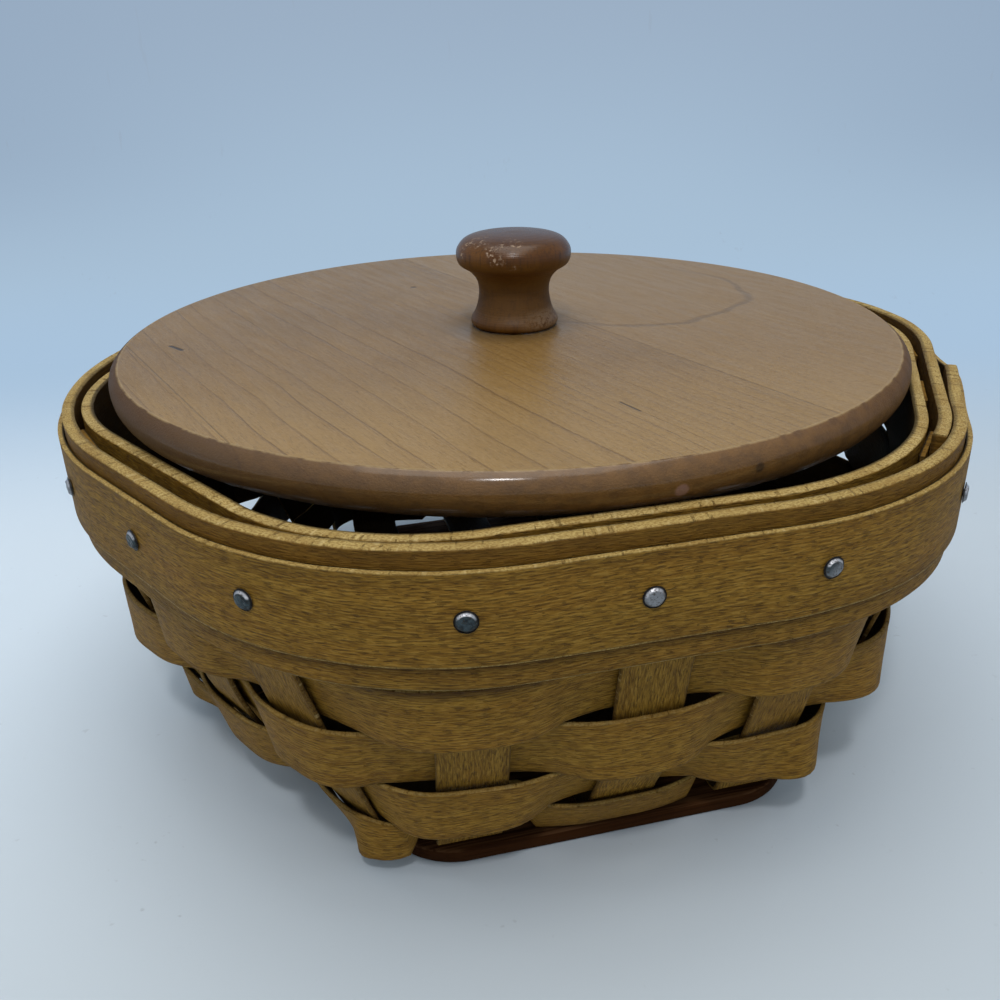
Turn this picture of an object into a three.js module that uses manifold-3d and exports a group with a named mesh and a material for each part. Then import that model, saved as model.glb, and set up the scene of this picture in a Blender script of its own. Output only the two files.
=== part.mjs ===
// A hexagonal splint basket with a round hardwood lid and a turned knob.
// Millimetres, +Z up. The origin is the middle of the base board's underside.
// One flat face of the hexagon looks along -Y, and corners lie on +X and -X.
//
// Nine splints cross under the basket, three each way, and turn up its six sides as eighteen
// uprights. Four weavers go round them, over one and behind the next. The uprights end between
// an inner and an outer band, with a thin trim strip outside, and a tack at each upright holds
// the four layers together. The lid rests by its rounded edge in the mouth of the inner band.

import * as THREE from 'three';
import { mergeVertices } from 'three/addons/utils/BufferGeometryUtils.js';
import Module from 'manifold-3d';

const wasm = await Module();
wasm.setup();

const sides = 6;
const uprightsPerSide = 3;
const sideTurn = Math.PI / 3;
const halfSide = Math.PI / 6;

// The wall, measured to the middle of the uprights
const baseApothem = 83.5;
const rimApothem = 107.7;
const wallFoot = 4.5;
const wallTop = 67;
const footCornerRadius = 5;
const uprightCornerRadii = [60, 63.3, 60, 61, 66, 74];
// How far the middle of a side swells out, half way up
const sideBulge = 3.6;

// The rim sits a little out of level and off the middle, as on a basket made by hand
const leanX = -0.006;
const leanY = -0.024;
const rimShiftX = 1.05;
const rimShiftY = 1.05;
const leanFrom = 10;
const leanFull = 96.4;

// Splints, three to a side. They turn up from the base round splintBend, slope out and turn
// plumb at the rim over rimBend on either side of wallTop; wallStops share out the slope.
const splintWidth = 15.8;
const splintThickness = 1.2;
const splintRise = 26;
const splintTop = wallTop + splintRise;
const splintBend = 4;
const splintBendSteps = 4;
const wallStops = [0.2, 0.4, 0.6, 0.8];
const rimBend = 3;
const rimEase = 0.6;
const layerPitch = 1.5;
const layerGap = 0.4;

// Where the three uprights of each side stand along it, at the foot and at the rim,
// and where their tacks are
const footPlaces = [
  [-32, 4, 38],
  [-34.5, 0, 34.5],
  [-34.5, 0, 34.5],
  [-34.5, 0, 34.5],
  [-34.5, 0, 34.5],
  [-34.5, 2, 37.5],
];
const rimPlaces = [
  [-34, 4, 37],
  [-38.5, -2, 35],
  [-35, 0, 35],
  [-35, 0, 35],
  [-35, 0, 35],
  [-33, 5, 38.5],
];
const tackPlaces = [
  [-35.5, -1, 35],
  [-40, -2, 35],
  [-35, 0, 35],
  [-35, 0, 35],
  [-35, 0, 35],
  [-32, 5.5, 44],
];

// Weavers, from the top row down. A weaver's foot stands off by its belly where it passes over
// an upright and is tucked in behind one. All but the top row flare out at some corners, a little
// to the side of the upright that the row passes over.
// The seams are counted in uprights, behind one that hides the two ends.
const weaverThickness = 1.2;
const weaverTops = [66.3, 49.4, 32.1, 15.9];
const weaverFeet = [50.2, 32.9, 17.4, 5.4];
const weaverBellies = [5.2, 5.6, 6, 1.6];
const weaverReach = 2.25;
const weaverTuck = 2.2;
const lowestLift = 7;
const liftFrom = 0.2;
const liftFull = 0.7;
const cornerFlares = [
  [0, 0, 0, 0, 0, 0],
  [0, 3.5, 0, 3, 0, 2],
  [0, 5, 0, 4, 0, 3],
  [5.3, 1.6, 3.6, 3, 3.4, 3],
];
const flareDrifts = [0, 0.3, 0.1, 0.25];
const flareSpread = 0.28;
const flareTopShare = 0.3;
const flareTopRise = 2.6;
const footRise = 3.4;
const weaverSteps = 6;
const weaverEndGap = 1;
const weaverSeams = [11.5, 10.5];

// Bands
const bandThickness = 2.9;
const innerBandClear = 0.8;
const innerBandApothem = rimApothem - splintThickness / 2 - innerBandClear;
const innerBandRise = 2.7;
const innerBandTop = splintTop + innerBandRise;
const innerBandHeight = 26.5;
const innerBandRadii = [54, 61, 61, 62, 60, 62];
const innerBandShift = 0.6;
const outerBandClear = 2.1;
const outerBandApothem = rimApothem + splintThickness / 2 + outerBandClear + bandThickness;
const outerBandRise = 0.9;
const outerBandTop = innerBandTop + outerBandRise;
const outerBandHeight = 29;
const outerBandRadii = [76, 72, 66, 78, 82, 91];
const lapDraw = 1.6;
const lapGap = 0.3;
const lapInnerApothem = outerBandApothem - lapDraw;
const lapOuterApothem = lapInnerApothem + bandThickness + lapGap;
const lapSpring = 1.2;
const lapRideFrom = -100;
const lapSpringFrom = -20;
const lapFrom = -43;
const lapTo = 9;
const trimThickness = 1.3;
const trimGap = 0.3;
const trimDrop = 3.8;
const trimTop = outerBandTop - trimDrop;
const trimHeight = 19.3;
const trimSettle = 24;
const settleStops = [0.05, 0.3, 0.6, 0.85];
const lapStops = [lapSpringFrom, lapSpringFrom / 2, 0]
  .concat(settleStops.map((share) => lapTo + share * trimSettle));
const bandEndGap = 0.8;
const bandCornerSteps = 4;
const jointSide = 3;
const jointAlong = 17;

// Tacks
const tackHeadRadius = 2.4;
const tackHeadHeight = 0.9;
const tackRim = 0.45;
const tackCrown = 0.68;
const tackShankRadius = 0.8;
const tackClearance = 0.3;
const tackSeat = 0.3;
const tackDrop = 9.5;
const tackHeight = trimTop - tackDrop;
const tackSides = 6;
const drillPast = 8;
const baseTackHeadHeight = 0.7;
const baseTackDepth = 2.4;
const baseTackRing = 39.8;

// Base board: how far each of its sides lies beyond the foot of the wall
const boardMargins = [2.6, 1.2, 0.9, 0.9, 0.4, -3.2];
const boardThickness = 4.1;
const boardCornerRadius = 40;
const boardCornerSteps = 5;

// Lid, knob and screw. The lid lies a little out of level in the mouth of the inner band.
const lidOver = 1.1;
const lidRadius = innerBandApothem - bandThickness + lidOver;
const lidTopRound = 4;
const lidUnderRound = 6.9;
const lidSegments = 72;
const roundSteps = 5;
const lidGap = 0.3;
// How far the lid lies off the middle of the rim, and how it slopes against it
const lidShift = -0.3;
const lidSlopeX = -0.012;
const lidSlopeY = -0.001;
const knobShiftX = 2.2;
const knobShiftY = 0.6;
const knobHeight = 25;
const knobCapRadius = 15.4;
const knobNeckRadius = 9.5;
const knobFootRadius = 11.8;
const knobFootRound = 0.6;
const knobGap = 0.3;
const knobSegments = 28;
const screwRadius = 1.8;
const screwHeadRadius = 3.8;
const screwHeadDepth = 2.2;
const screwReach = 14;
const screwTaper = 3;
const screwTipRadius = 0.3;
const screwClearance = 0.3;
const screwSink = 0.1;
const screwSegments = 12;

const paint = (color, roughness, metalness = 0) =>
  new THREE.MeshStandardMaterial({ color, roughness, metalness });
const splintWood = paint(0x9a7a42, 0.62);
const weaverWood = paint(0x94743c, 0.62);
const bandWood = paint(0x8c6c3a, 0.6);
const boardWood = paint(0x4a2f16, 0.7);
const lidWood = paint(0xa07a52, 0.38);
const knobWood = paint(0x7a4a26, 0.34);
const steel = paint(0x8b9096, 0.4, 0.9);

// Points of one solid closer than this are one point
const weldDistance = 1e-4;

const basket = new THREE.Group();

function add(name, geometry, material) {
  const mesh = new THREE.Mesh(geometry, material);
  mesh.name = name;
  basket.add(mesh);
  return mesh;
}

const mix = (a, b, t) => a + (b - a) * t;
const smooth = (t) => {
  const c = Math.min(1, Math.max(0, t));
  return c * c * (3 - 2 * c);
};

// The lean lowers the back of every ring, lifts its front and moves it, more the higher it lies
function lean(p) {
  const share = Math.max(0, (p.z - leanFrom) / (leanFull - leanFrom));
  return new THREE.Vector3(
    p.x + share * rimShiftX,
    p.y + share * rimShiftY,
    p.z + share * (leanX * p.x + leanY * p.y),
  );
}

function leanGeometry(geometry) {
  const position = geometry.getAttribute('position');
  for (let i = 0; i < position.count; i += 1) {
    const p = lean(new THREE.Vector3().fromBufferAttribute(position, i));
    position.setXYZ(i, p.x, p.y, p.z);
  }
  return geometry;
}

// How far from the middle of a side its rounded corner starts, and where the corner's middle lies
const cornerAlong = (apothem, radius) => (apothem - radius) * Math.tan(halfSide) + radius / 2;

// A point of a rounded hexagon, by its side and how far along that side it lies.
// radii holds the corner radius before each side, and the next entry the one after it.
// bulge is how far the middle of the side stands out; it fades to nothing at the corners.
function ringPoint(apothem, radii, side, along, bulge = 0) {
  const k = side % sides;
  const radius = along < 0 ? radii[k] : radii[(k + 1) % sides];
  const straight = (apothem - radius) * Math.tan(halfSide);
  const past = Math.abs(along) - straight;
  const turn = past > 0 ? Math.asin(Math.min(1, past / radius)) : 0;
  const plain = past > 0 ? apothem - radius + radius * Math.cos(turn) : apothem;
  const inner = Math.max(0, 1 - (along / cornerAlong(apothem, radius)) ** 2);
  const out = plain + bulge * inner ** 2;
  const facing = -Math.PI / 2 + k * sideTurn;
  const normal = facing + Math.sign(along) * turn;
  return {
    x: out * Math.cos(facing) - along * Math.sin(facing),
    y: out * Math.sin(facing) + along * Math.cos(facing),
    nx: Math.cos(normal),
    ny: Math.sin(normal),
  };
}

function wallRing(z) {
  const rise = Math.min(1, Math.max(0, (z - wallFoot) / (wallTop - wallFoot)));
  return {
    apothem: mix(baseApothem, rimApothem, rise),
    radii: uprightCornerRadii.map((radius) => mix(footCornerRadius, radius, rise)),
    places: footPlaces.map((row, k) => row.map((along, i) => mix(along, rimPlaces[k][i], rise))),
    bulge: sideBulge * Math.sin(Math.PI * rise) ** 2,
  };
}

// A strip through stations of four corners each, which turn anticlockwise seen along the strip
function stripGeometry(stations) {
  const positions = stations.flatMap((corners) => corners.flatMap((p) => [p.x, p.y, p.z]));
  const faces = [];
  const quad = (a, b, c, d) => faces.push(a, b, c, a, c, d);
  const last = (stations.length - 1) * 4;
  for (let here = 0; here < last; here += 4) {
    const next = here + 4;
    for (let e = 0; e < 4; e += 1) {
      const f = (e + 1) % 4;
      quad(here + e, here + f, next + f, next + e);
    }
  }
  quad(0, 3, 2, 1);
  quad(last, last + 1, last + 2, last + 3);
  const geometry = new THREE.BufferGeometry();
  geometry.setAttribute('position', new THREE.Float32BufferAttribute(positions, 3));
  geometry.setIndex(faces);
  return geometry;
}

function toSolid(geometry) {
  const bare = geometry.clone();
  bare.deleteAttribute('normal');
  bare.deleteAttribute('uv');
  const merged = mergeVertices(bare, weldDistance);
  return new wasm.Manifold(new wasm.Mesh({
    numProp: 3,
    vertProperties: new Float32Array(merged.getAttribute('position').array),
    triVerts: new Uint32Array(merged.getIndex().array),
  }));
}

function toGeometry(solid) {
  const mesh = solid.getMesh();
  const geometry = new THREE.BufferGeometry();
  geometry.setAttribute('position', new THREE.BufferAttribute(mesh.vertProperties, mesh.numProp));
  geometry.setIndex(new THREE.BufferAttribute(mesh.triVerts, 1));
  return geometry;
}

function cut(geometry, tools) {
  let solid = toSolid(geometry);
  for (const tool of tools) {
    solid = solid.subtract(tool);
  }
  return toGeometry(solid);
}

// A turned piece, from a profile of [radius, height] that runs from the bottom up on the outside
function turned(profile, segments) {
  return new THREE.LatheGeometry(profile.map(([r, z]) => new THREE.Vector2(r, z)), segments)
    .rotateX(Math.PI / 2);
}

// The outer band starts on lapSide, goes once round and passes outside its own start.
// Its first layer lies a little in there, and its last layer rides out and springs at its end.
const lapSide = 1;
const lapCorner = cornerAlong(outerBandApothem, outerBandRadii[lapSide]);
const farCorner = cornerAlong(outerBandApothem, outerBandRadii[lapSide + 1]);

function firstLayerShift(side, along) {
  const drawn = lapInnerApothem - outerBandApothem;
  if (side === lapSide) {
    return drawn;
  }
  return side === lapSide + 1 ? mix(drawn, 0, smooth((along + farCorner) / farCorner)) : 0;
}

function lastLayerShift(side, along) {
  if (side !== lapSide && side !== lapSide - 1) {
    return 0;
  }
  const place = side === lapSide ? along : along - 2 * lapCorner;
  const ridden = smooth((place - lapRideFrom) / (lapFrom - lapRideFrom));
  const sprung = smooth((place - lapSpringFrom) / (lapTo - lapSpringFrom));
  return ridden * (lapOuterApothem - outerBandApothem) + sprung * lapSpring;
}

// The outermost layer at a place: the last one up to its end, then back down to the first
function outermostShift(side, along) {
  if (side !== lapSide) {
    return firstLayerShift(side, along) + lastLayerShift(side, along);
  }
  const settle = smooth((along - lapTo - 1) / trimSettle);
  return mix(lastLayerShift(side, Math.min(along, lapTo)), firstLayerShift(side, along), settle);
}

// Stations of a band: each a side, a place along it and a change of apothem
function bandStations({ radii, apothem, from, to, offset }) {
  const list = [];
  const [fromSide, fromAlong] = from;
  const [toSide, toAlong] = to;
  for (let side = fromSide; side <= toSide; side += 1) {
    const before = radii[side % sides];
    const after = radii[(side + 1) % sides];
    const alongs = [];
    for (let i = 0; i <= bandCornerSteps; i += 1) {
      const turn = halfSide * (1 - i / bandCornerSteps);
      alongs.push(-(apothem - before) * Math.tan(halfSide) - before * Math.sin(turn));
    }
    alongs.push(...(side % sides === lapSide ? lapStops : [0]));
    for (let i = 0; i < bandCornerSteps; i += 1) {
      const turn = halfSide * (i / bandCornerSteps);
      alongs.push((apothem - after) * Math.tan(halfSide) + after * Math.sin(turn));
    }
    const first = side === fromSide ? fromAlong : -Infinity;
    const last = side === toSide ? toAlong : Infinity;
    alongs.sort((a, b) => a - b)
      .filter((along) => along > first && along < last)
      .concat([first, last].filter(Number.isFinite))
      .sort((a, b) => a - b)
      .forEach((along) => list.push({ side, along, shift: offset(side, along) }));
  }
  return list;
}

function bandGeometry({ radii, apothem, thickness, top, height, from, to, offset }) {
  const stations = bandStations({ radii, apothem, from, to, offset });
  const corners = stations.map(({ side, along, shift }) => {
    const p = ringPoint(apothem, radii, side, along);
    const at = (depth, z) => new THREE.Vector3(
      p.x + p.nx * (shift - depth),
      p.y + p.ny * (shift - depth),
      z,
    );
    return [at(thickness, top), at(0, top), at(0, top - height), at(thickness, top - height)];
  });
  return stripGeometry(corners);
}

function tackFrame(side, along) {
  const inner = ringPoint(innerBandApothem, innerBandRadii, side, along);
  const outer = ringPoint(outerBandApothem, outerBandRadii, side, along);
  const reach = trimThickness + trimGap + outermostShift(side, along);
  const out = new THREE.Vector2(outer.nx, outer.ny);
  const face = new THREE.Vector2(outer.x, outer.y).addScaledVector(out, reach);
  const innerFace = new THREE.Vector2(inner.x + innerBandShift, inner.y)
    .addScaledVector(out, -bandThickness);
  return { face, out, length: face.clone().sub(innerFace).dot(out) };
}

function tackAt(frame, extra) {
  const { face, out, length } = frame;
  const head = tackHeadRadius;
  const shank = tackShankRadius + extra;
  const reach = extra > 0 ? length + drillPast : length - tackSeat;
  const profile = extra > 0
    ? [[0, -reach], [shank, -reach], [shank, drillPast], [0, drillPast]]
    : [
      [0, -reach],
      [shank, -reach],
      [shank, tackSeat],
      [head, tackSeat],
      [head, tackSeat + tackHeadHeight * tackRim],
      [head * tackCrown, tackSeat + tackHeadHeight],
      [0, tackSeat + tackHeadHeight],
    ];
  const geometry = turned(profile, tackSides);
  const axis = new THREE.Vector3(out.x, out.y, 0);
  const turn = new THREE.Quaternion().setFromUnitVectors(new THREE.Vector3(0, 0, 1), axis);
  geometry.applyQuaternion(turn);
  const place = lean(new THREE.Vector3(face.x, face.y, tackHeight));
  return geometry.translate(place.x, place.y, place.z);
}

const tackFrames = [];
for (let side = 0; side < sides; side += 1) {
  for (const along of tackPlaces[side]) {
    tackFrames.push(tackFrame(side, along));
  }
}
const tackDrills = tackFrames.map((frame) => toSolid(tackAt(frame, tackClearance)));

// The tacks of the base stand where three splints cross
const layerZ = (layer) =>
  boardThickness + layerGap + splintThickness / 2 + layer * layerPitch;
const baseTackTop = layerZ(2) + splintThickness / 2;
const baseTackPlaces = Array.from({ length: sides }, (_, i) => {
  const angle = i * sideTurn;
  return new THREE.Vector2(baseTackRing * Math.cos(angle), baseTackRing * Math.sin(angle));
});

function baseTackAt(place, extra) {
  const shank = tackShankRadius + extra;
  const foot = boardThickness - baseTackDepth - extra;
  const head = baseTackTop + tackSeat;
  const profile = extra > 0
    ? [[0, foot], [shank, foot], [shank, head + drillPast], [0, head + drillPast]]
    : [
      [0, foot],
      [shank, foot],
      [shank, head],
      [tackHeadRadius, head],
      [tackHeadRadius * tackCrown, head + baseTackHeadHeight],
      [0, head + baseTackHeadHeight],
    ];
  return turned(profile, tackSides).translate(place.x, place.y, 0);
}
const baseTackDrills = baseTackPlaces.map((place) => toSolid(baseTackAt(place, tackClearance)));

// Half of a splint's run, from the middle of the base to its upper end
function splintRun(layer, side, place) {
  const z = layerZ(layer);
  const slope = (rimApothem - baseApothem) / (wallTop - wallFoot);
  const run = [];
  const leanBack = Math.atan(slope);
  const rise = Math.PI / 2 - leanBack;
  const reach = baseApothem + slope * (z - wallFoot) - splintBend * Math.tan(rise / 2);
  for (let i = 0; i <= splintBendSteps; i += 1) {
    const turn = (rise * i) / splintBendSteps;
    run.push([reach + splintBend * Math.sin(turn), z + splintBend * (1 - Math.cos(turn))]);
  }
  wallStops.forEach((t) => {
    const height = mix(wallFoot, wallTop, t);
    run.push([baseApothem + slope * (height - wallFoot), height]);
  });
  run.push([rimApothem - slope * rimBend, wallTop - rimBend]);
  run.push([rimApothem - slope * rimEase, wallTop]);
  run.push([rimApothem, wallTop + rimBend]);
  run.push([rimApothem, splintTop]);
  return run.map(([apothem, height], i) => {
    const before = run[Math.max(0, i - 1)];
    const after = run[Math.min(run.length - 1, i + 1)];
    const tilt = Math.atan2(after[1] - before[1], after[0] - before[0]);
    const { radii, places, bulge } = wallRing(height);
    return { apothem, height, tilt, radii, bulge, side, along: places[side][place] };
  });
}

function splintStation({ apothem, height, tilt, radii, bulge, side, along }) {
  const half = splintWidth / 2;
  const [left, middle, right] = [-half, 0, half].map((w) => {
    const p = ringPoint(apothem, radii, side, along + w, bulge);
    return new THREE.Vector2(p.x, p.y);
  });
  const thick = splintThickness / 2;
  const across = new THREE.Vector2().subVectors(right, left).normalize();
  const out = new THREE.Vector2(across.y, -across.x);
  const bow = middle.clone().sub(left).dot(out) / 2;
  left.addScaledVector(out, bow);
  right.addScaledVector(out, bow);
  const corner = (edge, sign) => {
    const p = new THREE.Vector3(
      edge.x + out.x * Math.sin(tilt) * thick * sign,
      edge.y + out.y * Math.sin(tilt) * thick * sign,
      height - Math.cos(tilt) * thick * sign,
    );
    return lean(p);
  };
  return [corner(right, 1), corner(right, -1), corner(left, -1), corner(left, 1)];
}

function splintGeometry(layer, place) {
  const across = uprightsPerSide - 1 - place;
  const rising = splintRun(layer, layer, place).map(splintStation);
  const falling = splintRun(layer, layer + sides / 2, across).map(splintStation).map(
    ([rightOut, rightIn, leftIn, leftOut]) => [leftOut, leftIn, rightIn, rightOut],
  );
  return stripGeometry([...falling.reverse(), ...rising]);
}

const familyNames = ['a', 'b', 'c'];
familyNames.forEach((family, layer) => {
  for (let i = 0; i < uprightsPerSide; i += 1) {
    const geometry = splintGeometry(layer, i);
    add(`splint_${family}${i + 1}`, cut(geometry, [...tackDrills, ...baseTackDrills]), splintWood);
  }
});

// Weavers: u counts the uprights, which stand at 0.5, 1.5 and 2.5 on each side
function weaverStation(row, u) {
  const side = Math.floor(u / uprightsPerSide);
  const local = u - side * uprightsPerSide;
  const parity = row % 2 === 0 ? 1 : -1;
  const sway = Math.cos(Math.PI * (u - 0.5)) * parity;
  const over = 1.5 * sway - 0.5 * sway ** 3;
  const lowest = row === weaverTops.length - 1;
  const corner = Math.round(u / uprightsPerSide) * uprightsPerSide;
  const overSide = Math.cos(Math.PI * (corner - 1)) * parity > 0 ? -1 : 1;
  const drift = overSide * flareDrifts[row];
  const cornerNear = Math.exp(-(((u - corner - drift) / flareSpread) ** 2));
  const lift = lowest ? lowestLift * smooth((-over - liftFrom) / (liftFull - liftFrom)) : 0;
  const flare = cornerFlares[row][(corner / uprightsPerSide) % sides];
  const flareShare = lowest ? flare / Math.max(...cornerFlares[row]) : 1;
  const topRise = lowest ? flareTopRise * flareShare * cornerNear ** 2 : 0;
  const rise = lowest ? footRise * (1 - flareShare) * cornerNear : 0;
  const topPush = lowest ? 0 : flare * flareTopShare;
  const free = smooth(1 + over);
  const edge = (z, reachOut, reachIn, push) => {
    const ring = wallRing(z);
    const before = cornerAlong(ring.apothem, ring.radii[side]);
    const after = cornerAlong(ring.apothem, ring.radii[(side + 1) % sides]);
    const knots = [-before, ...ring.places[side], after];
    const stops = [0, 0.5, 1.5, 2.5, 3];
    const i = Math.min(3, stops.findIndex((stop, n) => n > 0 && local <= stop) - 1);
    const along = mix(knots[i], knots[i + 1], (local - stops[i]) / (stops[i + 1] - stops[i]));
    const p = ringPoint(ring.apothem, ring.radii, side, along, ring.bulge);
    const out = (over > 0 ? reachOut : reachIn) * over + push * cornerNear * free;
    return new THREE.Vector3(p.x + p.nx * out, p.y + p.ny * out, z + lift);
  };
  return {
    top: edge(weaverTops[row] + topRise, weaverReach, weaverReach, topPush),
    foot: edge(weaverFeet[row] + rise, weaverBellies[row], weaverTuck, flare),
  };
}

function weaverGeometry(row) {
  const uprights = sides * uprightsPerSide;
  const seam = weaverSeams[row % 2];
  const pitch = (2 * rimApothem * Math.tan(halfSide)) / uprightsPerSide;
  const gap = weaverEndGap / pitch;
  const count = uprights * weaverSteps;
  const places = Array.from({ length: count + 1 }, (_, i) => seam + (i / count) * uprights);
  places[0] += gap / 2;
  places[count] -= gap / 2;
  const rails = places.map((u) => weaverStation(row, u % uprights));
  const corners = rails.map(({ top, foot }, i) => {
    const before = rails[Math.max(0, i - 1)];
    const after = rails[Math.min(count, i + 1)];
    const outward = (p, q, r) => new THREE.Vector3().subVectors(r, q).cross(p).normalize();
    const rise = new THREE.Vector3().subVectors(top, foot);
    const nTop = outward(rise, before.top, after.top).multiplyScalar(weaverThickness / 2);
    const nFoot = outward(rise, before.foot, after.foot).multiplyScalar(weaverThickness / 2);
    return [
      top.clone().sub(nTop),
      top.clone().add(nTop),
      foot.clone().add(nFoot),
      foot.clone().sub(nFoot),
    ].map(lean);
  });
  return stripGeometry(corners);
}

weaverTops.forEach((_, row) => {
  add(`weaver_${row + 1}`, weaverGeometry(row), weaverWood);
});

// Bands and trim. The inner band and the trim are rings with a butt joint at the back.
const ringFrom = [jointSide, jointAlong + bandEndGap / 2];
const ringTo = [jointSide + sides, jointAlong - bandEndGap / 2];

function addBand(name, shift, shape) {
  const geometry = leanGeometry(bandGeometry(shape).translate(shift, 0, 0));
  add(name, cut(geometry, tackDrills), bandWood);
}

// The inner band lies a little to one side, where the lid presses it
addBand('inner_band', innerBandShift, {
  radii: innerBandRadii,
  apothem: innerBandApothem,
  thickness: bandThickness,
  top: innerBandTop,
  height: innerBandHeight,
  from: ringFrom,
  to: ringTo,
  offset: () => 0,
});

addBand('outer_band', 0, {
  radii: outerBandRadii,
  apothem: outerBandApothem,
  thickness: bandThickness,
  top: outerBandTop,
  height: outerBandHeight,
  from: [lapSide, lapFrom],
  to: [lapSide + sides, lapTo],
  offset: (side, along) => (side < sides
    ? firstLayerShift(side, along)
    : lastLayerShift(side - sides, along)),
});

addBand('trim_strip', 0, {
  radii: outerBandRadii,
  apothem: outerBandApothem,
  thickness: trimThickness,
  top: trimTop,
  height: trimHeight,
  from: ringFrom,
  to: ringTo,
  offset: (side, along) => outermostShift(side % sides, along) + trimGap + trimThickness,
});

tackFrames.forEach((frame, i) => {
  add(`tack_${String(i + 1).padStart(2, '0')}`, tackAt(frame, 0), steel);
});

// Base board and the tacks that pin the crossed splints to it. Corner i lies after side i + 1.
function boardShape() {
  const shape = new THREE.Shape();
  for (let i = 0; i < sides; i += 1) {
    const angle = i * sideTurn;
    const [before, after] = [i + 1, i + 2].map((side) =>
      baseApothem + boardMargins[side % sides] - boardCornerRadius);
    const reach = (before + after) / (2 * Math.cos(halfSide));
    const slip = after - before;
    shape.absarc(
      reach * Math.cos(angle) - slip * Math.sin(angle),
      reach * Math.sin(angle) + slip * Math.cos(angle),
      boardCornerRadius,
      angle - halfSide,
      angle + halfSide,
      false,
    );
  }
  shape.closePath();
  return shape;
}
const board = new THREE.ExtrudeGeometry(boardShape(), {
  depth: boardThickness,
  bevelEnabled: false,
  curveSegments: boardCornerSteps,
});
add('base_board', cut(board, baseTackDrills), boardWood);
baseTackPlaces.forEach((place, i) => {
  add(`base_tack_${i + 1}`, baseTackAt(place, 0), steel);
});

// Lid: its lower rounded edge beds on the inner arris of the inner band, at the middle of a side.
// The heights on the lid count from its underside, and every piece on it is placed by onRim.
const lidThickness = lidTopRound + lidUnderRound;
const sideFacings = Array.from({ length: sides }, (_, side) => -Math.PI / 2 + side * sideTurn);
const lidFoot = Math.max(...sideFacings.map((facing) => {
  const mouth = innerBandApothem - bandThickness;
  const arris = mouth - (lidRadius - lidUnderRound) + (innerBandShift - lidShift) * Math.cos(facing);
  const bed = Math.sqrt((lidUnderRound + lidGap) ** 2 - arris ** 2) - lidUnderRound;
  const slope = lidSlopeX * Math.cos(facing) + lidSlopeY * Math.sin(facing);
  return innerBandTop + bed - mouth * slope;
}));

function onRim(geometry, shiftX, shiftY) {
  const slopeX = leanX + lidSlopeX;
  const slopeY = leanY + lidSlopeY;
  const up = new THREE.Vector3(-slopeX, -slopeY, 1).normalize();
  const tilt = new THREE.Quaternion().setFromUnitVectors(new THREE.Vector3(0, 0, 1), up);
  const place = lean(new THREE.Vector3(0, 0, lidFoot));
  return geometry.translate(shiftX, shiftY, 0)
    .applyQuaternion(tilt)
    .translate(place.x + lidShift, place.y, place.z);
}

function lidProfile() {
  const profile = [];
  for (let i = 0; i <= roundSteps; i += 1) {
    const turn = (Math.PI / 2) * (i / roundSteps);
    profile.push([
      lidRadius - lidUnderRound * (1 - Math.sin(turn)),
      lidUnderRound * (1 - Math.cos(turn)),
    ]);
  }
  for (let i = 1; i <= roundSteps; i += 1) {
    const turn = (Math.PI / 2) * (i / roundSteps);
    profile.push([
      lidRadius - lidTopRound * (1 - Math.cos(turn)),
      lidThickness - lidTopRound * (1 - Math.sin(turn)),
    ]);
  }
  return [[0, 0], ...profile, [0, lidThickness]];
}

// The hole for the screw, countersunk from beneath
const boreRadius = screwRadius + screwClearance;
const sinkRadius = screwHeadRadius + screwClearance;
const screwBore = turned([
  [0, -drillPast],
  [sinkRadius, -drillPast],
  [sinkRadius, 0],
  [boreRadius, screwHeadDepth],
  [boreRadius, screwReach + screwClearance],
  [0, screwReach + screwClearance],
], screwSegments);
const knobBore = toSolid(screwBore.translate(knobShiftX, knobShiftY, 0));
add('lid', onRim(cut(turned(lidProfile(), lidSegments), [knobBore]), 0, 0), lidWood);

// Knob profile: each radius with its height as a share of the knob's height
const knobSteps = [
  [knobFootRadius - knobFootRound, 0],
  [knobFootRadius, 0.03],
  [knobFootRadius * 0.99, 0.09],
  [knobNeckRadius * 1.09, 0.19],
  [knobNeckRadius, 0.36],
  [knobNeckRadius * 1.06, 0.5],
  [knobNeckRadius * 1.27, 0.6],
  [knobCapRadius * 0.95, 0.67],
  [knobCapRadius, 0.76],
  [knobCapRadius * 0.97, 0.85],
  [knobCapRadius * 0.82, 0.94],
  [knobCapRadius * 0.5, 0.985],
  [0, 1],
];
const knobFoot = lidThickness + knobGap;
const knobProfile = [
  [0, screwReach + screwClearance],
  [boreRadius, screwReach + screwClearance],
  [boreRadius, knobFoot],
  ...knobSteps.map(([radius, share]) => [radius, knobFoot + share * knobHeight]),
];
add('knob', onRim(turned(knobProfile, knobSegments), knobShiftX, knobShiftY), knobWood);

const screwProfile = [
  [0, screwSink],
  [screwHeadRadius - screwSink, screwSink],
  [screwRadius, screwHeadDepth],
  [screwRadius, screwReach - screwTaper],
  [screwTipRadius, screwReach],
  [0, screwReach],
];
add('knob_screw', onRim(turned(screwProfile, screwSegments), knobShiftX, knobShiftY), steel);

export default basket;
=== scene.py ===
import math

import bmesh
import bpy
from mathutils import Matrix, Quaternion, Vector, noise


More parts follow.
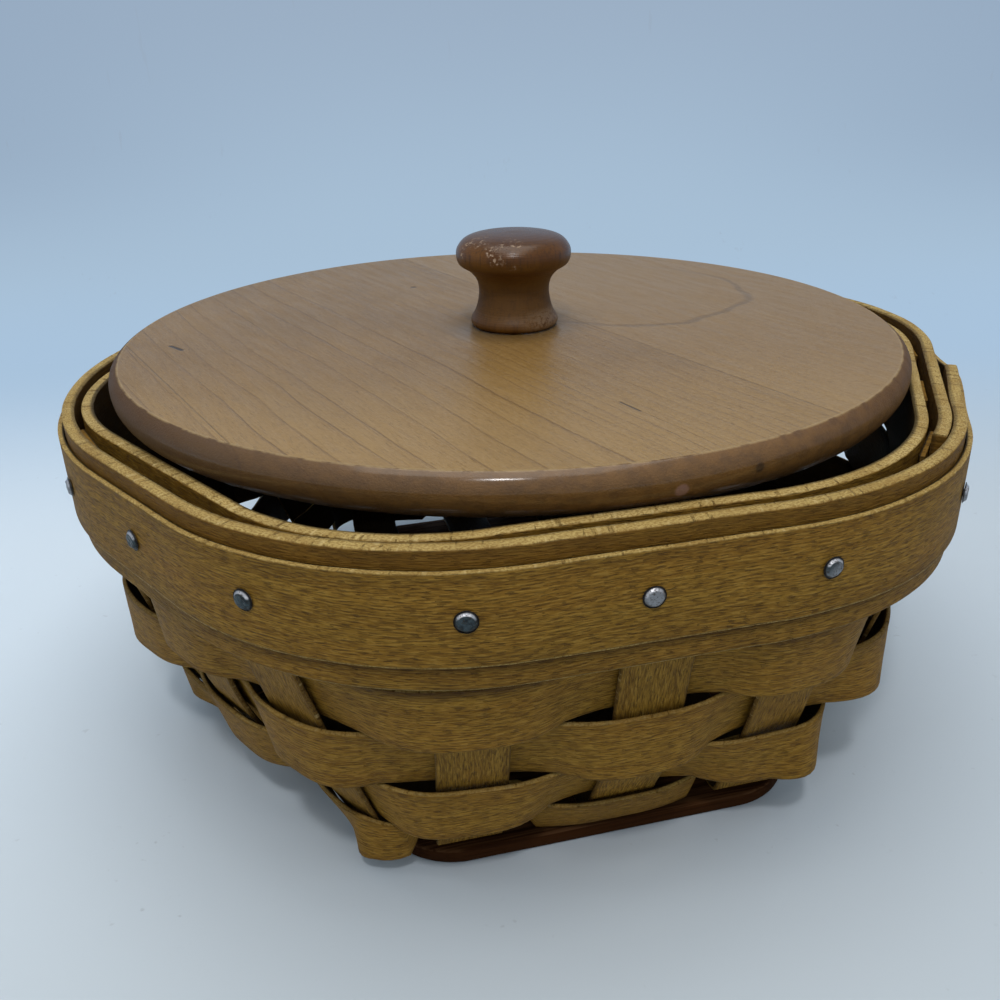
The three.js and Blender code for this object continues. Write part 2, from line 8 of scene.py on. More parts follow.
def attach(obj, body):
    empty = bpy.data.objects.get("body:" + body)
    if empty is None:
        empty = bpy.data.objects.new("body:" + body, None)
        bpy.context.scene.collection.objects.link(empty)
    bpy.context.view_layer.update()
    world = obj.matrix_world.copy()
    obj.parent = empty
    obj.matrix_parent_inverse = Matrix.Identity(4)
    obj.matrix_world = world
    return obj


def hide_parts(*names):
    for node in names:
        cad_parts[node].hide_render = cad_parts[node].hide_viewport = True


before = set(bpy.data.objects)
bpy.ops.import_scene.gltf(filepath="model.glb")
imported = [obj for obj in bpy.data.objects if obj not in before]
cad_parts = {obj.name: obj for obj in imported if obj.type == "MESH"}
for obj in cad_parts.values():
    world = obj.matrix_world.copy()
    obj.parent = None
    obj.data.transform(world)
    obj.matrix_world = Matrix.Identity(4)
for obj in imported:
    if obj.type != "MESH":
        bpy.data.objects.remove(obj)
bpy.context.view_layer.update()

print("frame loaded:", len(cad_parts), "nodes")

mm = 0.001
sides = 6
perSide = 3     # uprights and tacks on each side
uprights = sides * perSide
sideTurn = 2 * math.pi / sides
halfSide = math.pi / sides


# node trees, wired with plain expressions

class Wire:
    # a socket of a node tree that can be added, multiplied and divided like a number
    def __init__(self, net, socket):
        self.net = net
        self.socket = socket

    def __add__(self, other):
        return self.net.maths("ADD", self, other)

    def __radd__(self, other):
        return self.net.maths("ADD", other, self)

    def __sub__(self, other):
        return self.net.maths("SUBTRACT", self, other)

    def __rsub__(self, other):
        return self.net.maths("SUBTRACT", other, self)

    def __mul__(self, other):
        return self.net.maths("MULTIPLY", self, other)

    def __rmul__(self, other):
        return self.net.maths("MULTIPLY", other, self)

    def __truediv__(self, other):
        return self.net.maths("DIVIDE", self, other)

    def __rtruediv__(self, other):
        return self.net.maths("DIVIDE", other, self)

    def __neg__(self):
        return self.net.maths("MULTIPLY", self, -1)


class Net:
    def __init__(self, tree):
        self.tree = tree

    def node(self, kind, settings=None, out=0, **values):
        # any node: its settings first, then the values or links of its sockets by number
        made = self.tree.nodes.new(kind)
        for name, value in (settings or {}).items():
            setattr(made, name, value)
        for name, value in values.items():
            self.feed(made.inputs[int(name[1:])], value)
        return Wire(self, made.outputs[out] if made.outputs else None)

    def feed(self, socket, value):
        if isinstance(value, Wire):
            self.tree.links.new(value.socket, socket)
        elif value is not None:
            socket.default_value = value

    def maths(self, operation, a, b=None, c=None):
        return self.node("ShaderNodeMath", {"operation": operation}, i0=a, i1=b, i2=c)

    def vector(self, operation, a, b=None, scale=None, out=0):
        return self.node("ShaderNodeVectorMath", {"operation": operation}, out, i0=a, i1=b, i3=scale)

    def join(self, x, y, z):
        return self.node("ShaderNodeCombineXYZ", i0=x, i1=y, i2=z)

    def split(self, vector):
        first = self.node("ShaderNodeSeparateXYZ", i0=vector)
        return [Wire(self, output) for output in first.socket.node.outputs]

    def ease(self, value, low, high, toLow=0.0, toHigh=1.0):
        # a smooth step between two values, held flat outside them
        return self.node("ShaderNodeMapRange", {"interpolation_type": "SMOOTHSTEP"},
                         i0=value, i1=low, i2=high, i3=toLow, i4=toHigh)

    def line(self, value, half, soft):
        # 1 where the value is near nought, fading to nothing beyond half
        return 1 - self.ease(self.maths("ABSOLUTE", value), half, half + soft)

    def noise(self, at, scale=1.0, detail=2.0, rough=0.5):
        at = self.join(*at) if isinstance(at, tuple) else at
        return self.node("ShaderNodeTexNoise", i0=at, i2=scale, i3=detail, i4=rough)

    def cells(self, at, scale):
        return self.node("ShaderNodeTexVoronoi", {"feature": "F1"}, i0=at, i2=scale)

    def clamp(self, value, low, high):
        return self.maths("MINIMUM", self.maths("MAXIMUM", value, low), high)

    def span(self, first, *others):
        # the length of a place's offsets
        total = first * first
        for other in others:
            total = total + other * other
        return self.maths("SQRT", total)

    def blend(self, factor, a, b):
        a, b = [(*c, 1) if isinstance(c, tuple) else c for c in (a, b)]
        return self.node("ShaderNodeMix", {"data_type": "RGBA"}, 2, i0=factor, i6=a, i7=b)

    def layers(self, color, *coats):
        # lays tones over a colour, each by its own share
        for share, tone in coats:
            color = self.blend(share, color, tone)
        return color

    def read(self, name):
        return self.node("ShaderNodeAttribute",
                         {"attribute_type": "GEOMETRY", "attribute_name": name}, 1)

    def bump(self, height, strength, depth):
        return self.node("ShaderNodeBump", i0=strength, i1=depth, i3=height)

    def carried(self, name, kind="FLOAT_VECTOR"):
        # an attribute that a geometry tree finds on its points
        return self.node("GeometryNodeInputNamedAttribute", {"data_type": kind}, i0=name)

    def store(self, geometry, name, kind, value):
        return self.node("GeometryNodeStoreNamedAttribute", {"data_type": kind, "domain": "POINT"},
                         i0=geometry, i2=name, i3=value)


def annotate(mesh, label, values):
    # a value or a vector for each vertex, under its label
    kind, field = ("FLOAT", "value") if isinstance(values[0], float) else ("FLOAT_VECTOR", "vector")
    for item, value in zip(mesh.attributes.new(label, kind, "POINT").data, values):
        setattr(item, field, value)


def linked(name, data):
    made = bpy.data.objects.new(name, data)
    bpy.context.scene.collection.objects.link(made)
    return made


# the form of the basket: rounded hexagons, one above the other
# sizes are in millimetres, and places run along each side from its middle

rim = {"leanX": -0.006, "leanY": -0.024, "shiftX": 1.05, "shiftY": 1.05, "from": 10, "full": 96.4}
wall = {
    "baseApothem": 83.5, "rimApothem": 107.7, "foot": 4.5, "top": 67,
    "footRadius": 5, "radii": [60, 63.3, 60, 61, 66, 74], "bulge": 3.6,
    "footPlaces": [[-32, 4, 38]] + [[-34.5, 0, 34.5]] * 4 + [[-34.5, 2, 37.5]],
    "rimPlaces": [[-34, 4, 37], [-38.5, -2, 35]] + [[-35, 0, 35]] * 3 + [[-33, 5, 38.5]],
}


def mix(a, b, t):
    return a + (b - a) * t


def heading(angle):
    return Vector((math.cos(angle), math.sin(angle), 0))


def smooth(t):
    c = min(1.0, max(0.0, t))
    return c * c * (3 - 2 * c)


def lean(p):
    # the rim lies a little out of level and off the middle
    share = max(0.0, (p.z - rim["from"]) / (rim["full"] - rim["from"]))
    return Vector((
        p.x + share * rim["shiftX"],
        p.y + share * rim["shiftY"],
        p.z + share * (rim["leanX"] * p.x + rim["leanY"] * p.y),
    ))


def cornerAlong(apothem, radius):
    # how far from a side's middle the middle of its corner lies
    return (apothem - radius) * math.tan(halfSide) + radius / 2


def ringPoint(apothem, radii, side, along, bulge=0.0):
    # a place on a rounded hexagon and the way it faces, from a side and a distance along it
    k = side % sides
    radius = radii[k] if along < 0 else radii[(k + 1) % sides]
    past = abs(along) - (apothem - radius) * math.tan(halfSide)
    turn = math.asin(min(1.0, past / radius)) if past > 0 else 0.0
    out = apothem - radius + radius * math.cos(turn) if past > 0 else apothem
    out += bulge * max(0.0, 1 - (along / cornerAlong(apothem, radius)) ** 2) ** 2
    front = -math.pi / 2 + k * sideTurn
    normal = front + math.copysign(turn, along)
    place = Vector((
        out * math.cos(front) - along * math.sin(front),
        out * math.sin(front) + along * math.cos(front), 0))
    return place, heading(normal)


def wallRing(z):
    # the hexagon that the splints follow at a height
    rise = min(1.0, max(0.0, (z - wall["foot"]) / (wall["top"] - wall["foot"])))
    return {
        "apothem": mix(wall["baseApothem"], wall["rimApothem"], rise),
        "radii": [mix(wall["footRadius"], radius, rise) for radius in wall["radii"]],
        "places": [[mix(a, b, rise) for a, b in zip(low, high)]
                   for low, high in zip(wall["footPlaces"], wall["rimPlaces"])],
        "bulge": wall["bulge"] * math.sin(math.pi * rise) ** 2,
    }


# one tree makes every strip of wood: it sweeps a softened flat section along a rail

def addSockets(tree, given, sockets, result):
    # a tree's named inputs and its one result
    tree.interface.new_socket(given, in_out="INPUT", socket_type="NodeSocketGeometry")
    for name, kind, value in sockets:
        socket = tree.interface.new_socket(name, in_out="INPUT", socket_type=kind)
        if value is not None:
            socket.default_value = value
    tree.interface.new_socket(result, in_out="OUTPUT", socket_type="NodeSocketGeometry")
    net = Net(tree)
    group = tree.nodes.new("NodeGroupInput")
    return net, [Wire(net, group.outputs[i]) for i in range(len(sockets) + 1)]


def endTree(net, geometry, finish):
    real = net.node("GeometryNodeRealizeInstances", i0=geometry)
    net.node("NodeGroupOutput", i0=net.node("GeometryNodeSetMaterial", i0=real, i2=finish))


def stripTree():
    tree = bpy.data.node_groups.new("strip", "GeometryNodeTree")
    net, given = addSockets(tree, "Rail", (
        ("Thickness", "NodeSocketFloat", 0.0012), ("Section Points", "NodeSocketInt", 32),
        ("Ragged", "NodeSocketFloat", 0.0001), ("Ripple", "NodeSocketFloat", 0.0001),
        ("Seed", "NodeSocketFloat", 0.0), ("Wood", "NodeSocketMaterial", None)), "Strip")
    rail, thickness, points, ragged, ripple, seed, wood = given

    # the section: a circle pressed flat against a long thin rectangle
    circle = net.node("GeometryNodeCurvePrimitiveCircle", {"mode": "RADIUS"}, i0=points, i4=0.001)
    angle = (net.node("GeometryNodeInputIndex") + 0.5) * (2 * math.pi) / points
    for name, turn, press in (("across", "COSINE", 1.01), ("depth", "SINE", 5.5)):
        pressed = net.clamp(net.maths(turn, angle) * press, -1, 1)
        circle = net.store(circle, name, "FLOAT", pressed)
    path = net.node("GeometryNodeMeshToCurve", i0=rail)
    swept = net.node("GeometryNodeCurveToMesh", i0=path, i1=circle, i2=1.0, i3=True)

    mid, wide, out = [net.carried(name) for name in ("mid", "wide", "out")]
    run, across, depth = [net.carried(name, "FLOAT") for name in ("run", "across", "depth")]
    half = net.vector("LENGTH", wide, out=1)
    nearEdge = net.ease(net.maths("ABSOLUTE", across), 0.8, 1.0)
    tear = net.noise((run * 900, across * 3, seed), detail=3, rough=0.7) - 0.5
    drawn = net.noise((run * 60, across * 2, seed + 9), detail=2) - 0.5
    push = (tear + drawn * 1.6) * ragged * nearEdge * across
    swell = (net.noise((run * 28, across * 0.7, seed + 31), detail=2) - 0.5) * ripple * 2
    offset = net.vector("ADD", net.vector("SCALE", wide, scale=across + push / half),
                        net.vector("SCALE", out, scale=depth * thickness * 0.5 + swell))
    placed = net.node("GeometryNodeSetPosition", i0=swept, i2=net.vector("ADD", mid, offset))

    grained = net.store(placed, "grain", "FLOAT_VECTOR", net.join(run, across * half, seed))
    grained = net.store(grained, "section", "FLOAT_VECTOR", net.join(across, depth, thickness))
    crease = net.node("GeometryNodeInputMeshEdgeAngle")
    flatCaps = net.node("GeometryNodeSetShadeSmooth", {"domain": "EDGE"}, i0=grained,
                        i1=net.maths("GREATER_THAN", crease, 0.9), i2=False)
    endTree(net, flatCaps, wood)
    return tree


def railMesh(name, stations):
    # stations: middle, half width towards the upper edge, outward face, all in millimetres
    mesh = bpy.data.meshes.new(name)
    mesh.from_pydata([mid * mm for mid, _, _ in stations],
                     [(i, i + 1) for i in range(len(stations) - 1)], [])
    runs = [0.0]
    for (last, _, _), (mid, _, _) in zip(stations, stations[1:]):
        runs.append(runs[-1] + (mid - last).length * mm)
    annotate(mesh, "mid", [mid * mm for mid, _, _ in stations])
    annotate(mesh, "wide", [wide * mm for _, wide, _ in stations])
    annotate(mesh, "out", [out for _, _, out in stations])
    annotate(mesh, "run", runs)
    return mesh


def grow(name, mesh, tree, values):
    # runs a tree on a mesh and keeps its result as a plain piece at the origin
    rail = linked(name + "_rail", mesh)
    modifier = rail.modifiers.new("grow", "NODES")
    modifier.node_group = tree
    sockets = {item.name: item.identifier for item in tree.interface.items_tree
               if item.in_out == "INPUT"}
    for label, value in values.items():
        modifier[sockets[label]] = value
    bpy.context.view_layer.update()
    graph = bpy.context.evaluated_depsgraph_get()
    result = bpy.data.meshes.new_from_object(rail.evaluated_get(graph))
    rail.modifiers.remove(modifier)
    bpy.data.objects.remove(rail)
    result.name = name
    return linked(name, result)


def settle(piece, body, slot, *replaced):
    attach(piece, body)
    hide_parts(*replaced)


# materials

def material(name, gloss):
    made = bpy.data.materials.new(name)
    made.use_nodes = True
    made.node_tree.nodes.clear()
    net = Net(made.node_tree)
    shader = net.node("ShaderNodeBsdfPrincipled")
    net.node("ShaderNodeOutputMaterial", i0=shader)
    shader.socket.node.inputs["Specular IOR Level"].default_value = gloss
    return made, net, shader.socket.node


def varied(shader, net, **values):
    # links or plain values for the shader's sockets, by their names
    for name, value in values.items():
        net.feed(shader.inputs[name.replace("_", " ")], value)


def stripWood(name, look):
    # split and sawn oak, its grain along the strip, its sawn edges paler, its inner face darkened with
    # painted shade
    made, net, shader = material(name, look["gloss"])
    run, along, seed = net.split(net.read("grain"))
    across, depth, thickness = net.split(net.read("section"))
    wander = (net.noise((run * 16, along * 50, seed * 3.1), detail=2) - 0.5) * look["wander"]
    lane = along + wander
    ring = net.noise((run * 9, lane * 480, seed * 5), detail=3, rough=0.6)
    streak = net.noise((run * 260, lane * 2700, seed * 7), detail=2, rough=0.6)
    pore = net.noise((run * 400, lane * 3000, seed * 11), detail=1, rough=0.4)
    cloud = net.noise((run * 26, along * 90, seed * 2.3 + 4), detail=4, rough=0.6)
    dash = net.ease(pore, 0.58, 0.64)
    # soot and handling dirt lie towards the edges, and a painted shade lies below whatever laps over
    # the strip
    near = net.ease(net.maths("ABSOLUTE", across), 0.55, 0.95)
    soot = net.noise((run * 70, along * 160, seed + 17), detail=4, rough=0.65)
    color = net.layers(
        net.blend(net.ease(ring, 0.34, 0.66), look["dark"], look["light"]),
        (net.ease(cloud, 0.32, 0.70) * look["cloudShare"], look["warm"]),
        (net.ease(streak, 0.48, 0.40) * look["streakShare"], look["streak"]),
        (net.ease(streak, 0.53, 0.61) * look["paleShare"], look["pale"]),
        (dash * look["poreShare"], look["pore"]),
        (net.ease(across, 0.2, 0.6) * look["topShare"], look["topTone"]),
        (near * net.ease(soot, 0.35, 0.70) * look["soot"], look["sootAndShadeTone"]))
    # painted shade: a soft dark band just below the edge of whatever laps over the strip
    for deepest, gone, share in look["shades"]:
        below = net.ease(across, gone, deepest) * net.ease(across, deepest + 0.10, deepest + 0.02)
        color = net.blend(below * share, color, look["sootAndShadeTone"])
    # the sawn edge, with the thin ticks that the saw left across it
    edge = net.ease(net.maths("ABSOLUTE", across), look["edgeFrom"], 0.997)
    skew = depth * thickness * 0.5
    tick = net.noise((run * 620 + skew * 90, skew * 40, seed + 3), detail=2, rough=0.6)
    broken = net.noise((run * 150, skew * 500, seed + 5), detail=2)
    sawn = net.ease(tick, 0.57, 0.63) * net.ease(broken, 0.40, 0.56)
    glint = net.ease(tick, 0.44, 0.38) * net.ease(broken, 0.60, 0.44)
    wear = net.noise((run * 60, skew * 200, seed + 8), detail=4, rough=0.65)
    crumb = net.noise((run * 1500, skew * 2600, seed + 12), detail=2, rough=0.6)
    cut = net.layers(
        net.blend(net.ease(wear, 0.35, 0.68), look["cut"], look["cutWorn"]),
        (net.ease(crumb, 0.42, 0.60) * look["crumbShare"], look["cutDark"]),
        (sawn * look["tickShare"], look["streak"]), (glint * look["tickShare"], look["cutPale"]))
    # painted shade: the inner face, turned away from the light, is painted near black
    color = net.layers(color, (edge * look["edgeShare"], cut),
                       (net.ease(-depth, 0.2, 0.8) * look["innerShade"], look["innerShadeTone"]))
    height = (streak * 0.8 - dash * 0.7) * (1 - edge) - (sawn + crumb * 0.5) * edge
    varied(shader, net, Base_Color=color, Normal=net.bump(height + ring * 0.4, look["bump"], 0.0004),
           Roughness=net.ease(streak, 0.3, 0.7, look["rough"] - 0.06, look["rough"] + 0.06))
    return made


oak = {
    "dark": (0.186, 0.094, 0.0105), "light": (0.255, 0.138, 0.018), "warm": (0.245, 0.112, 0.013),
    "streak": (0.078, 0.034, 0.004), "pale": (0.46, 0.28, 0.060), "pore": (0.030, 0.012, 0.002),
    "cloudShare": 0.45, "streakShare": 0.48, "paleShare": 0.30, "poreShare": 0.42,
    "cut": (0.49, 0.355, 0.125), "cutDark": (0.20, 0.115, 0.026), "cutWorn": (0.35, 0.230, 0.070),
    "cutPale": (0.62, 0.48, 0.22), "edgeFrom": 0.94, "edgeShare": 0.9, "tickShare": 0.38,
    "crumbShare": 0.7, "innerShade": 0.92, "innerShadeTone": (0.010, 0.006, 0.002),
    "soot": 0.35, "sootAndShadeTone": (0.045, 0.018, 0.004), "shades": (),
    "topShare": 0, "topTone": (0.130, 0.058, 0.007),
    "wander": 0.004, "bump": 0.9, "rough": 0.62, "gloss": 0.13,
}
# the splints' sawn sides are painted dark brown, partly their own tone and partly painted shade
splintWood = stripWood("splint_wood", dict(oak, cut=(0.12, 0.062, 0.014), cutWorn=(0.06, 0.03, 0.007)))
paler = dict(oak, dark=(0.196, 0.097, 0.010), light=(0.264, 0.141, 0.017),
             warm=(0.254, 0.114, 0.013), edgeShare=0.5)
weaverWood = stripWood("weaver_wood", paler)
# the top row carries a painted shade along its upper edge, below the outer band's foot
topWeaverWood = stripWood("top_weaver_wood", dict(paler, shades=((1.0, 0.62, 0.85),)))
innerWood = stripWood("inner_wood", dict(oak, edgeFrom=0.965, innerShade=0.8, tickShare=0.6,
                                         cut=(0.53, 0.39, 0.15), cutWorn=(0.38, 0.26, 0.085)))
# the outer band carries a painted shadow just below the trim's foot
outerWood = stripWood("outer_wood", dict(oak, edgeFrom=0.965, innerShade=0.5, topShare=0.55,
                                         shades=((-0.60, -0.78, 0.95),)))
trimWood = stripWood("trim_wood", dict(oak, edgeFrom=0.95))
strip = stripTree()


def addStrip(name, body, slot, node, edges, form, wood, seed, sectionPoints):
    piece = grow(name, railMesh("rail", facing(edges)), strip, {
        "Thickness": form["thickness"] * mm, "Section Points": sectionPoints,
        "Ragged": form["ragged"] * mm, "Ripple": form["ripple"] * mm, "Seed": seed, "Wood": wood})
    settle(piece, body, slot, node)


def facing(edges):
    # middle, half width and outward face of each place, from its upper and lower edge points
    found = []
    for i, (top, foot) in enumerate(edges):
        before = edges[max(0, i - 1)]
        after = edges[min(len(edges) - 1, i + 1)]
        travel = (after[0] + after[1] - before[0] - before[1]) / 2
        wide = (top - foot) / 2
        found.append(((top + foot) / 2, wide, travel.cross(wide).normalized()))
    return found


# weavers: over one upright and behind the next, some flaring out at the corners

weaver = {
    "thickness": 1.2, "tops": [66.3, 49.4, 32.1, 15.9], "feet": [50.2, 32.9, 17.4, 5.4],
    "bellies": [5.2, 5.6, 6, 1.6], "reach": 2.25, "tuck": 2.2,
    "lowestLift": 7, "liftFrom": 0.2, "liftFull": 0.7,
    "flares": [[0] * 6, [0, 3.5, 0, 3, 0, 2], [0, 5, 0, 4, 0, 3], [5.3, 1.6, 3.6, 3, 3.4, 3]],
    "drifts": [0, 0.3, 0.1, 0.25], "spread": 0.28, "topShare": 0.3, "topRise": 2.6, "footRise": 3.4,
    "steps": 22, "endGap": 1, "seams": [11.5, 10.5], "ragged": 0.22, "ripple": 0.12,
}


def weaverStation(row, u):
    # upper and lower edge points of a row, u counted in uprights round the basket
    side = int(u // perSide)
    local = u - side * perSide
    parity = 1 if row % 2 == 0 else -1
    sway = math.cos(math.pi * (u - 0.5)) * parity
    over = 1.5 * sway - 0.5 * sway ** 3
    lowest = row == len(weaver["tops"]) - 1
    corner = round(u / perSide) * perSide
    overSide = -1 if math.cos(math.pi * (corner - 1)) * parity > 0 else 1
    off = (u - corner - overSide * weaver["drifts"][row]) / weaver["spread"]
    cornerNear = math.exp(-(off ** 2))
    raised = smooth((-over - weaver["liftFrom"]) / (weaver["liftFull"] - weaver["liftFrom"]))
    lift = weaver["lowestLift"] * raised if lowest else 0
    flare = weaver["flares"][row][(corner // perSide) % sides]
    share = flare / max(weaver["flares"][row]) if lowest else 1
    topRise = weaver["topRise"] * share * cornerNear ** 2 if lowest else 0
    footRise = weaver["footRise"] * (1 - share) * cornerNear if lowest else 0
    free = smooth(1 + over)

    def edge(z, reachOut, reachIn, push):
        ring = wallRing(z)
        before = cornerAlong(ring["apothem"], ring["radii"][side])
        after = cornerAlong(ring["apothem"], ring["radii"][(side + 1) % sides])
        knots = [-before, *ring["places"][side], after]
        stops = [0, *[place + 0.5 for place in range(perSide)], perSide]
        i = next(n for n in range(perSide + 1) if local <= stops[n + 1])
        along = mix(knots[i], knots[i + 1], (local - stops[i]) / (stops[i + 1] - stops[i]))
        p, n = ringPoint(ring["apothem"], ring["radii"], side, along, ring["bulge"])
        out = (reachOut if over > 0 else reachIn) * over + push * cornerNear * free
        return lean(p + n * out + Vector((0, 0, z + lift)))

    topPush = 0 if lowest else flare * weaver["topShare"]
    top = edge(weaver["tops"][row] + topRise, weaver["reach"], weaver["reach"], topPush)
    foot = edge(weaver["feet"][row] + footRise, weaver["bellies"][row], weaver["tuck"], flare)
    return top, foot


for row in range(len(weaver["tops"])):
    gap = weaver["endGap"] / (2 * wall["rimApothem"] * math.tan(halfSide) / perSide)
    count = uprights * weaver["steps"]
    first = weaver["seams"][row % 2]
    places = [first + mix(gap / 2, uprights - gap / 2, i / count) for i in range(count + 1)]
    addStrip(f"weave_row_{row + 1}", "basket", "weaver_wood", f"weaver_{row + 1}",
             [weaverStation(row, u % uprights) for u in places], weaver,
             weaverWood if row else topWeaverWood, 11.0 + row, 32)
print("weavers woven")


# splints: across the base and up two opposite sides

splint = {
    "width": 15.8, "thickness": 1.2, "top": 93, "bend": 4, "pitch": 1.5, "gap": 0.4,
    "board": 4.1, "rimBend": 3, "rimEase": 0.6, "bendSteps": 10, "wallSteps": 24, "rimSteps": 8,
    "flatSteps": 24, "wallFrom": 1, "ragged": 0.16, "ripple": 0.08,
}


def layerZ(layer):
    return splint["board"] + splint["gap"] + splint["thickness"] / 2 + layer * splint["pitch"]


def splintRun(layer):
    # the apothem and height of a splint's middle line, from the bend at the base to its upper end
    z = layerZ(layer)
    slope = (wall["rimApothem"] - wall["baseApothem"]) / (wall["top"] - wall["foot"])
    rise = math.pi / 2 - math.atan(slope)
    bend = splint["bend"]
    reach = wall["baseApothem"] + slope * (z - wall["foot"]) - bend * math.tan(rise / 2)
    run = []
    for i in range(splint["bendSteps"] + 1):
        turn = rise * i / splint["bendSteps"]
        run.append((reach + bend * math.sin(turn), z + bend * (1 - math.cos(turn))))
    low, high = run[-1][1] + splint["wallFrom"], wall["top"] - splint["rimBend"]
    for i in range(splint["wallSteps"] + 1):
        height = mix(low, high, i / splint["wallSteps"])
        run.append((wall["baseApothem"] + slope * (height - wall["foot"]), height))
    run.append((wall["rimApothem"] - slope * splint["rimEase"], wall["top"]))
    for i in range(splint["rimSteps"] + 1):
        height = mix(wall["top"] + splint["rimBend"], splint["top"], i / splint["rimSteps"])
        run.append((wall["rimApothem"], height))
    return run


def splintEdges(apothem, height, side, place, flip):
    ring = wallRing(height)
    along = ring["places"][side][place]
    half = splint["width"] / 2
    left, middle, right = [ringPoint(apothem, ring["radii"], side, along + w, ring["bulge"])[0]
                           for w in (-half, 0, half)]
    across = (right - left).normalized()
    out = Vector((across.y, -across.x, 0))
    bow = (middle - left).dot(out) / 2
    left, right = [lean(p + out * bow + Vector((0, 0, height))) for p in (left, right)]
    return (right, left) if flip else (left, right)


for layer, family in enumerate("abc"):
    opposite = layer + sides // 2
    for place in range(perSide):
        rising = [splintEdges(*spot, layer, place, False) for spot in splintRun(layer)]
        falling = [splintEdges(*spot, opposite, perSide - 1 - place, True)
                   for spot in splintRun(layer)]
        a, b = falling[0], rising[0]
        flat = [(a[0].lerp(b[0], t / splint["flatSteps"]), a[1].lerp(b[1], t / splint["flatSteps"]))
                for t in range(1, splint["flatSteps"])]
        addStrip(f"upright_{family}{place + 1}", "basket", "splint_wood", f"splint_{family}{place + 1}",
                 falling[::-1] + flat + rising, splint, splintWood, 31.0 + layer * perSide + place, 32)
print("splints bent")


# bands round the rim

band = {
    "thickness": 2.9, "gap": 0.8, "step": 2.0, "jointSide": 3, "jointAlong": 17,
    "inner": {"apothem": 106.3, "top": 95.7, "height": 26.5, "shift": 0.6,
              "radii": [54, 61, 61, 62, 60, 62]},
    "outer": {"apothem": 113.3, "top": 96.6, "height": 29, "radii": [76, 72, 66, 78, 82, 91]},
    "lap": {"side": 1, "inner": 111.7, "outer": 114.9, "spring": 1.2, "rideFrom": -100,
            "springFrom": -20, "from": -43, "to": 9},
    "ragged": 0.22, "ripple": 0.1,
}
trim = {"thickness": 1.3, "gap": 0.3, "top": 92.8, "height": 19.3, "settle": 24,
        "ragged": 0.3, "ripple": 0.1}
outerBand, innerBand, lap = band["outer"], band["inner"], band["lap"]
lapCorner = cornerAlong(outerBand["apothem"], outerBand["radii"][lap["side"]])
farCorner = cornerAlong(outerBand["apothem"], outerBand["radii"][lap["side"] + 1])


# where the outer band laps over itself, its first turn is drawn in and its last rides out

def firstLayerShift(side, along):
    drawn = lap["inner"] - outerBand["apothem"]
    if side == lap["side"]:
        return drawn
    return mix(drawn, 0, smooth((along + farCorner) / farCorner)) if side == lap["side"] + 1 else 0


def lastLayerShift(side, along):
    if side not in (lap["side"], lap["side"] - 1):
        return 0
    place = along if side == lap["side"] else along - 2 * lapCorner
    ridden = smooth((place - lap["rideFrom"]) / (lap["from"] - lap["rideFrom"]))
    sprung = smooth((place - lap["springFrom"]) / (lap["to"] - lap["springFrom"]))
    return ridden * (lap["outer"] - outerBand["apothem"]) + sprung * lap["spring"]


def outermostShift(side, along):
    if side != lap["side"]:
        return firstLayerShift(side, along) + lastLayerShift(side, along)
    eased = smooth((along - lap["to"] - 1) / trim["settle"])
    return mix(lastLayerShift(side, min(along, lap["to"])), firstLayerShift(side, along), eased)


def bandEdges(form, thickness, start, end, shiftRule, sideways=0):
    # upper and lower edge points; start and end are a side and a distance along it
    edges = []
    for side in range(start[0], end[0] + 1):
        before = cornerAlong(form["apothem"], form["radii"][side % sides])
        after = cornerAlong(form["apothem"], form["radii"][(side + 1) % sides])
        low = start[1] if side == start[0] else -before
        high = end[1] if side == end[0] else after
        steps = max(2, round((high - low) / band["step"]))
        for i in range(steps + (side == end[0])):
            along = mix(low, high, i / steps)
            p, n = ringPoint(form["apothem"], form["radii"], side, along)
            place = p + n * (shiftRule(side, along) - thickness / 2) + Vector((sideways, 0, 0))
            edges.append((lean(place + Vector((0, 0, form["top"]))),
                          lean(place + Vector((0, 0, form["top"] - form["height"])))))
    return edges


def outerShift(side, along):
    return firstLayerShift(side, along) if side < sides else lastLayerShift(side - sides, along)


def trimShift(side, along):
    return outermostShift(side % sides, along) + trim["gap"] + trim["thickness"]


ringStart = (band["jointSide"], band["jointAlong"] + band["gap"] / 2)
ringEnd = (band["jointSide"] + sides, band["jointAlong"] - band["gap"] / 2)
addStrip("rim_inner", "basket", "band_wood", "inner_band",
         bandEdges(innerBand, band["thickness"], ringStart, ringEnd, lambda side, along: 0,
                   innerBand["shift"]), band, innerWood, 51.0, 64)
addStrip("rim_outer", "basket", "band_wood", "outer_band",
         bandEdges(outerBand, band["thickness"], (lap["side"], lap["from"]),
                   (lap["side"] + sides, lap["to"]), outerShift), band, outerWood, 52.0, 64)
addStrip("rim_trim", "basket", "band_wood", "trim_strip",
         bandEdges(dict(outerBand, top=trim["top"], height=trim["height"]), trim["thickness"],
                   ringStart, ringEnd, trimShift), trim, trimWood, 53.0, 48)
print("bands bent round the rim")


# tacks: small round heads, dented by the hammer, with a dark ring of painted shade where they meet the
# wood

tack = {
    "headRadius": 2.35, "headHeight": 0.84, "shank": 0.8, "seat": 0.3, "height": 83.3, "ring": 39.8,
    "baseDepth": 2.4, "dent": 0.17, "around": 40, "rings": 26, "shankSides": 12,
    "places": [[-35.5, -1, 35], [-40, -2, 35]] + [[-35, 0, 35]] * 3 + [[-32, 5.5, 44]],
}


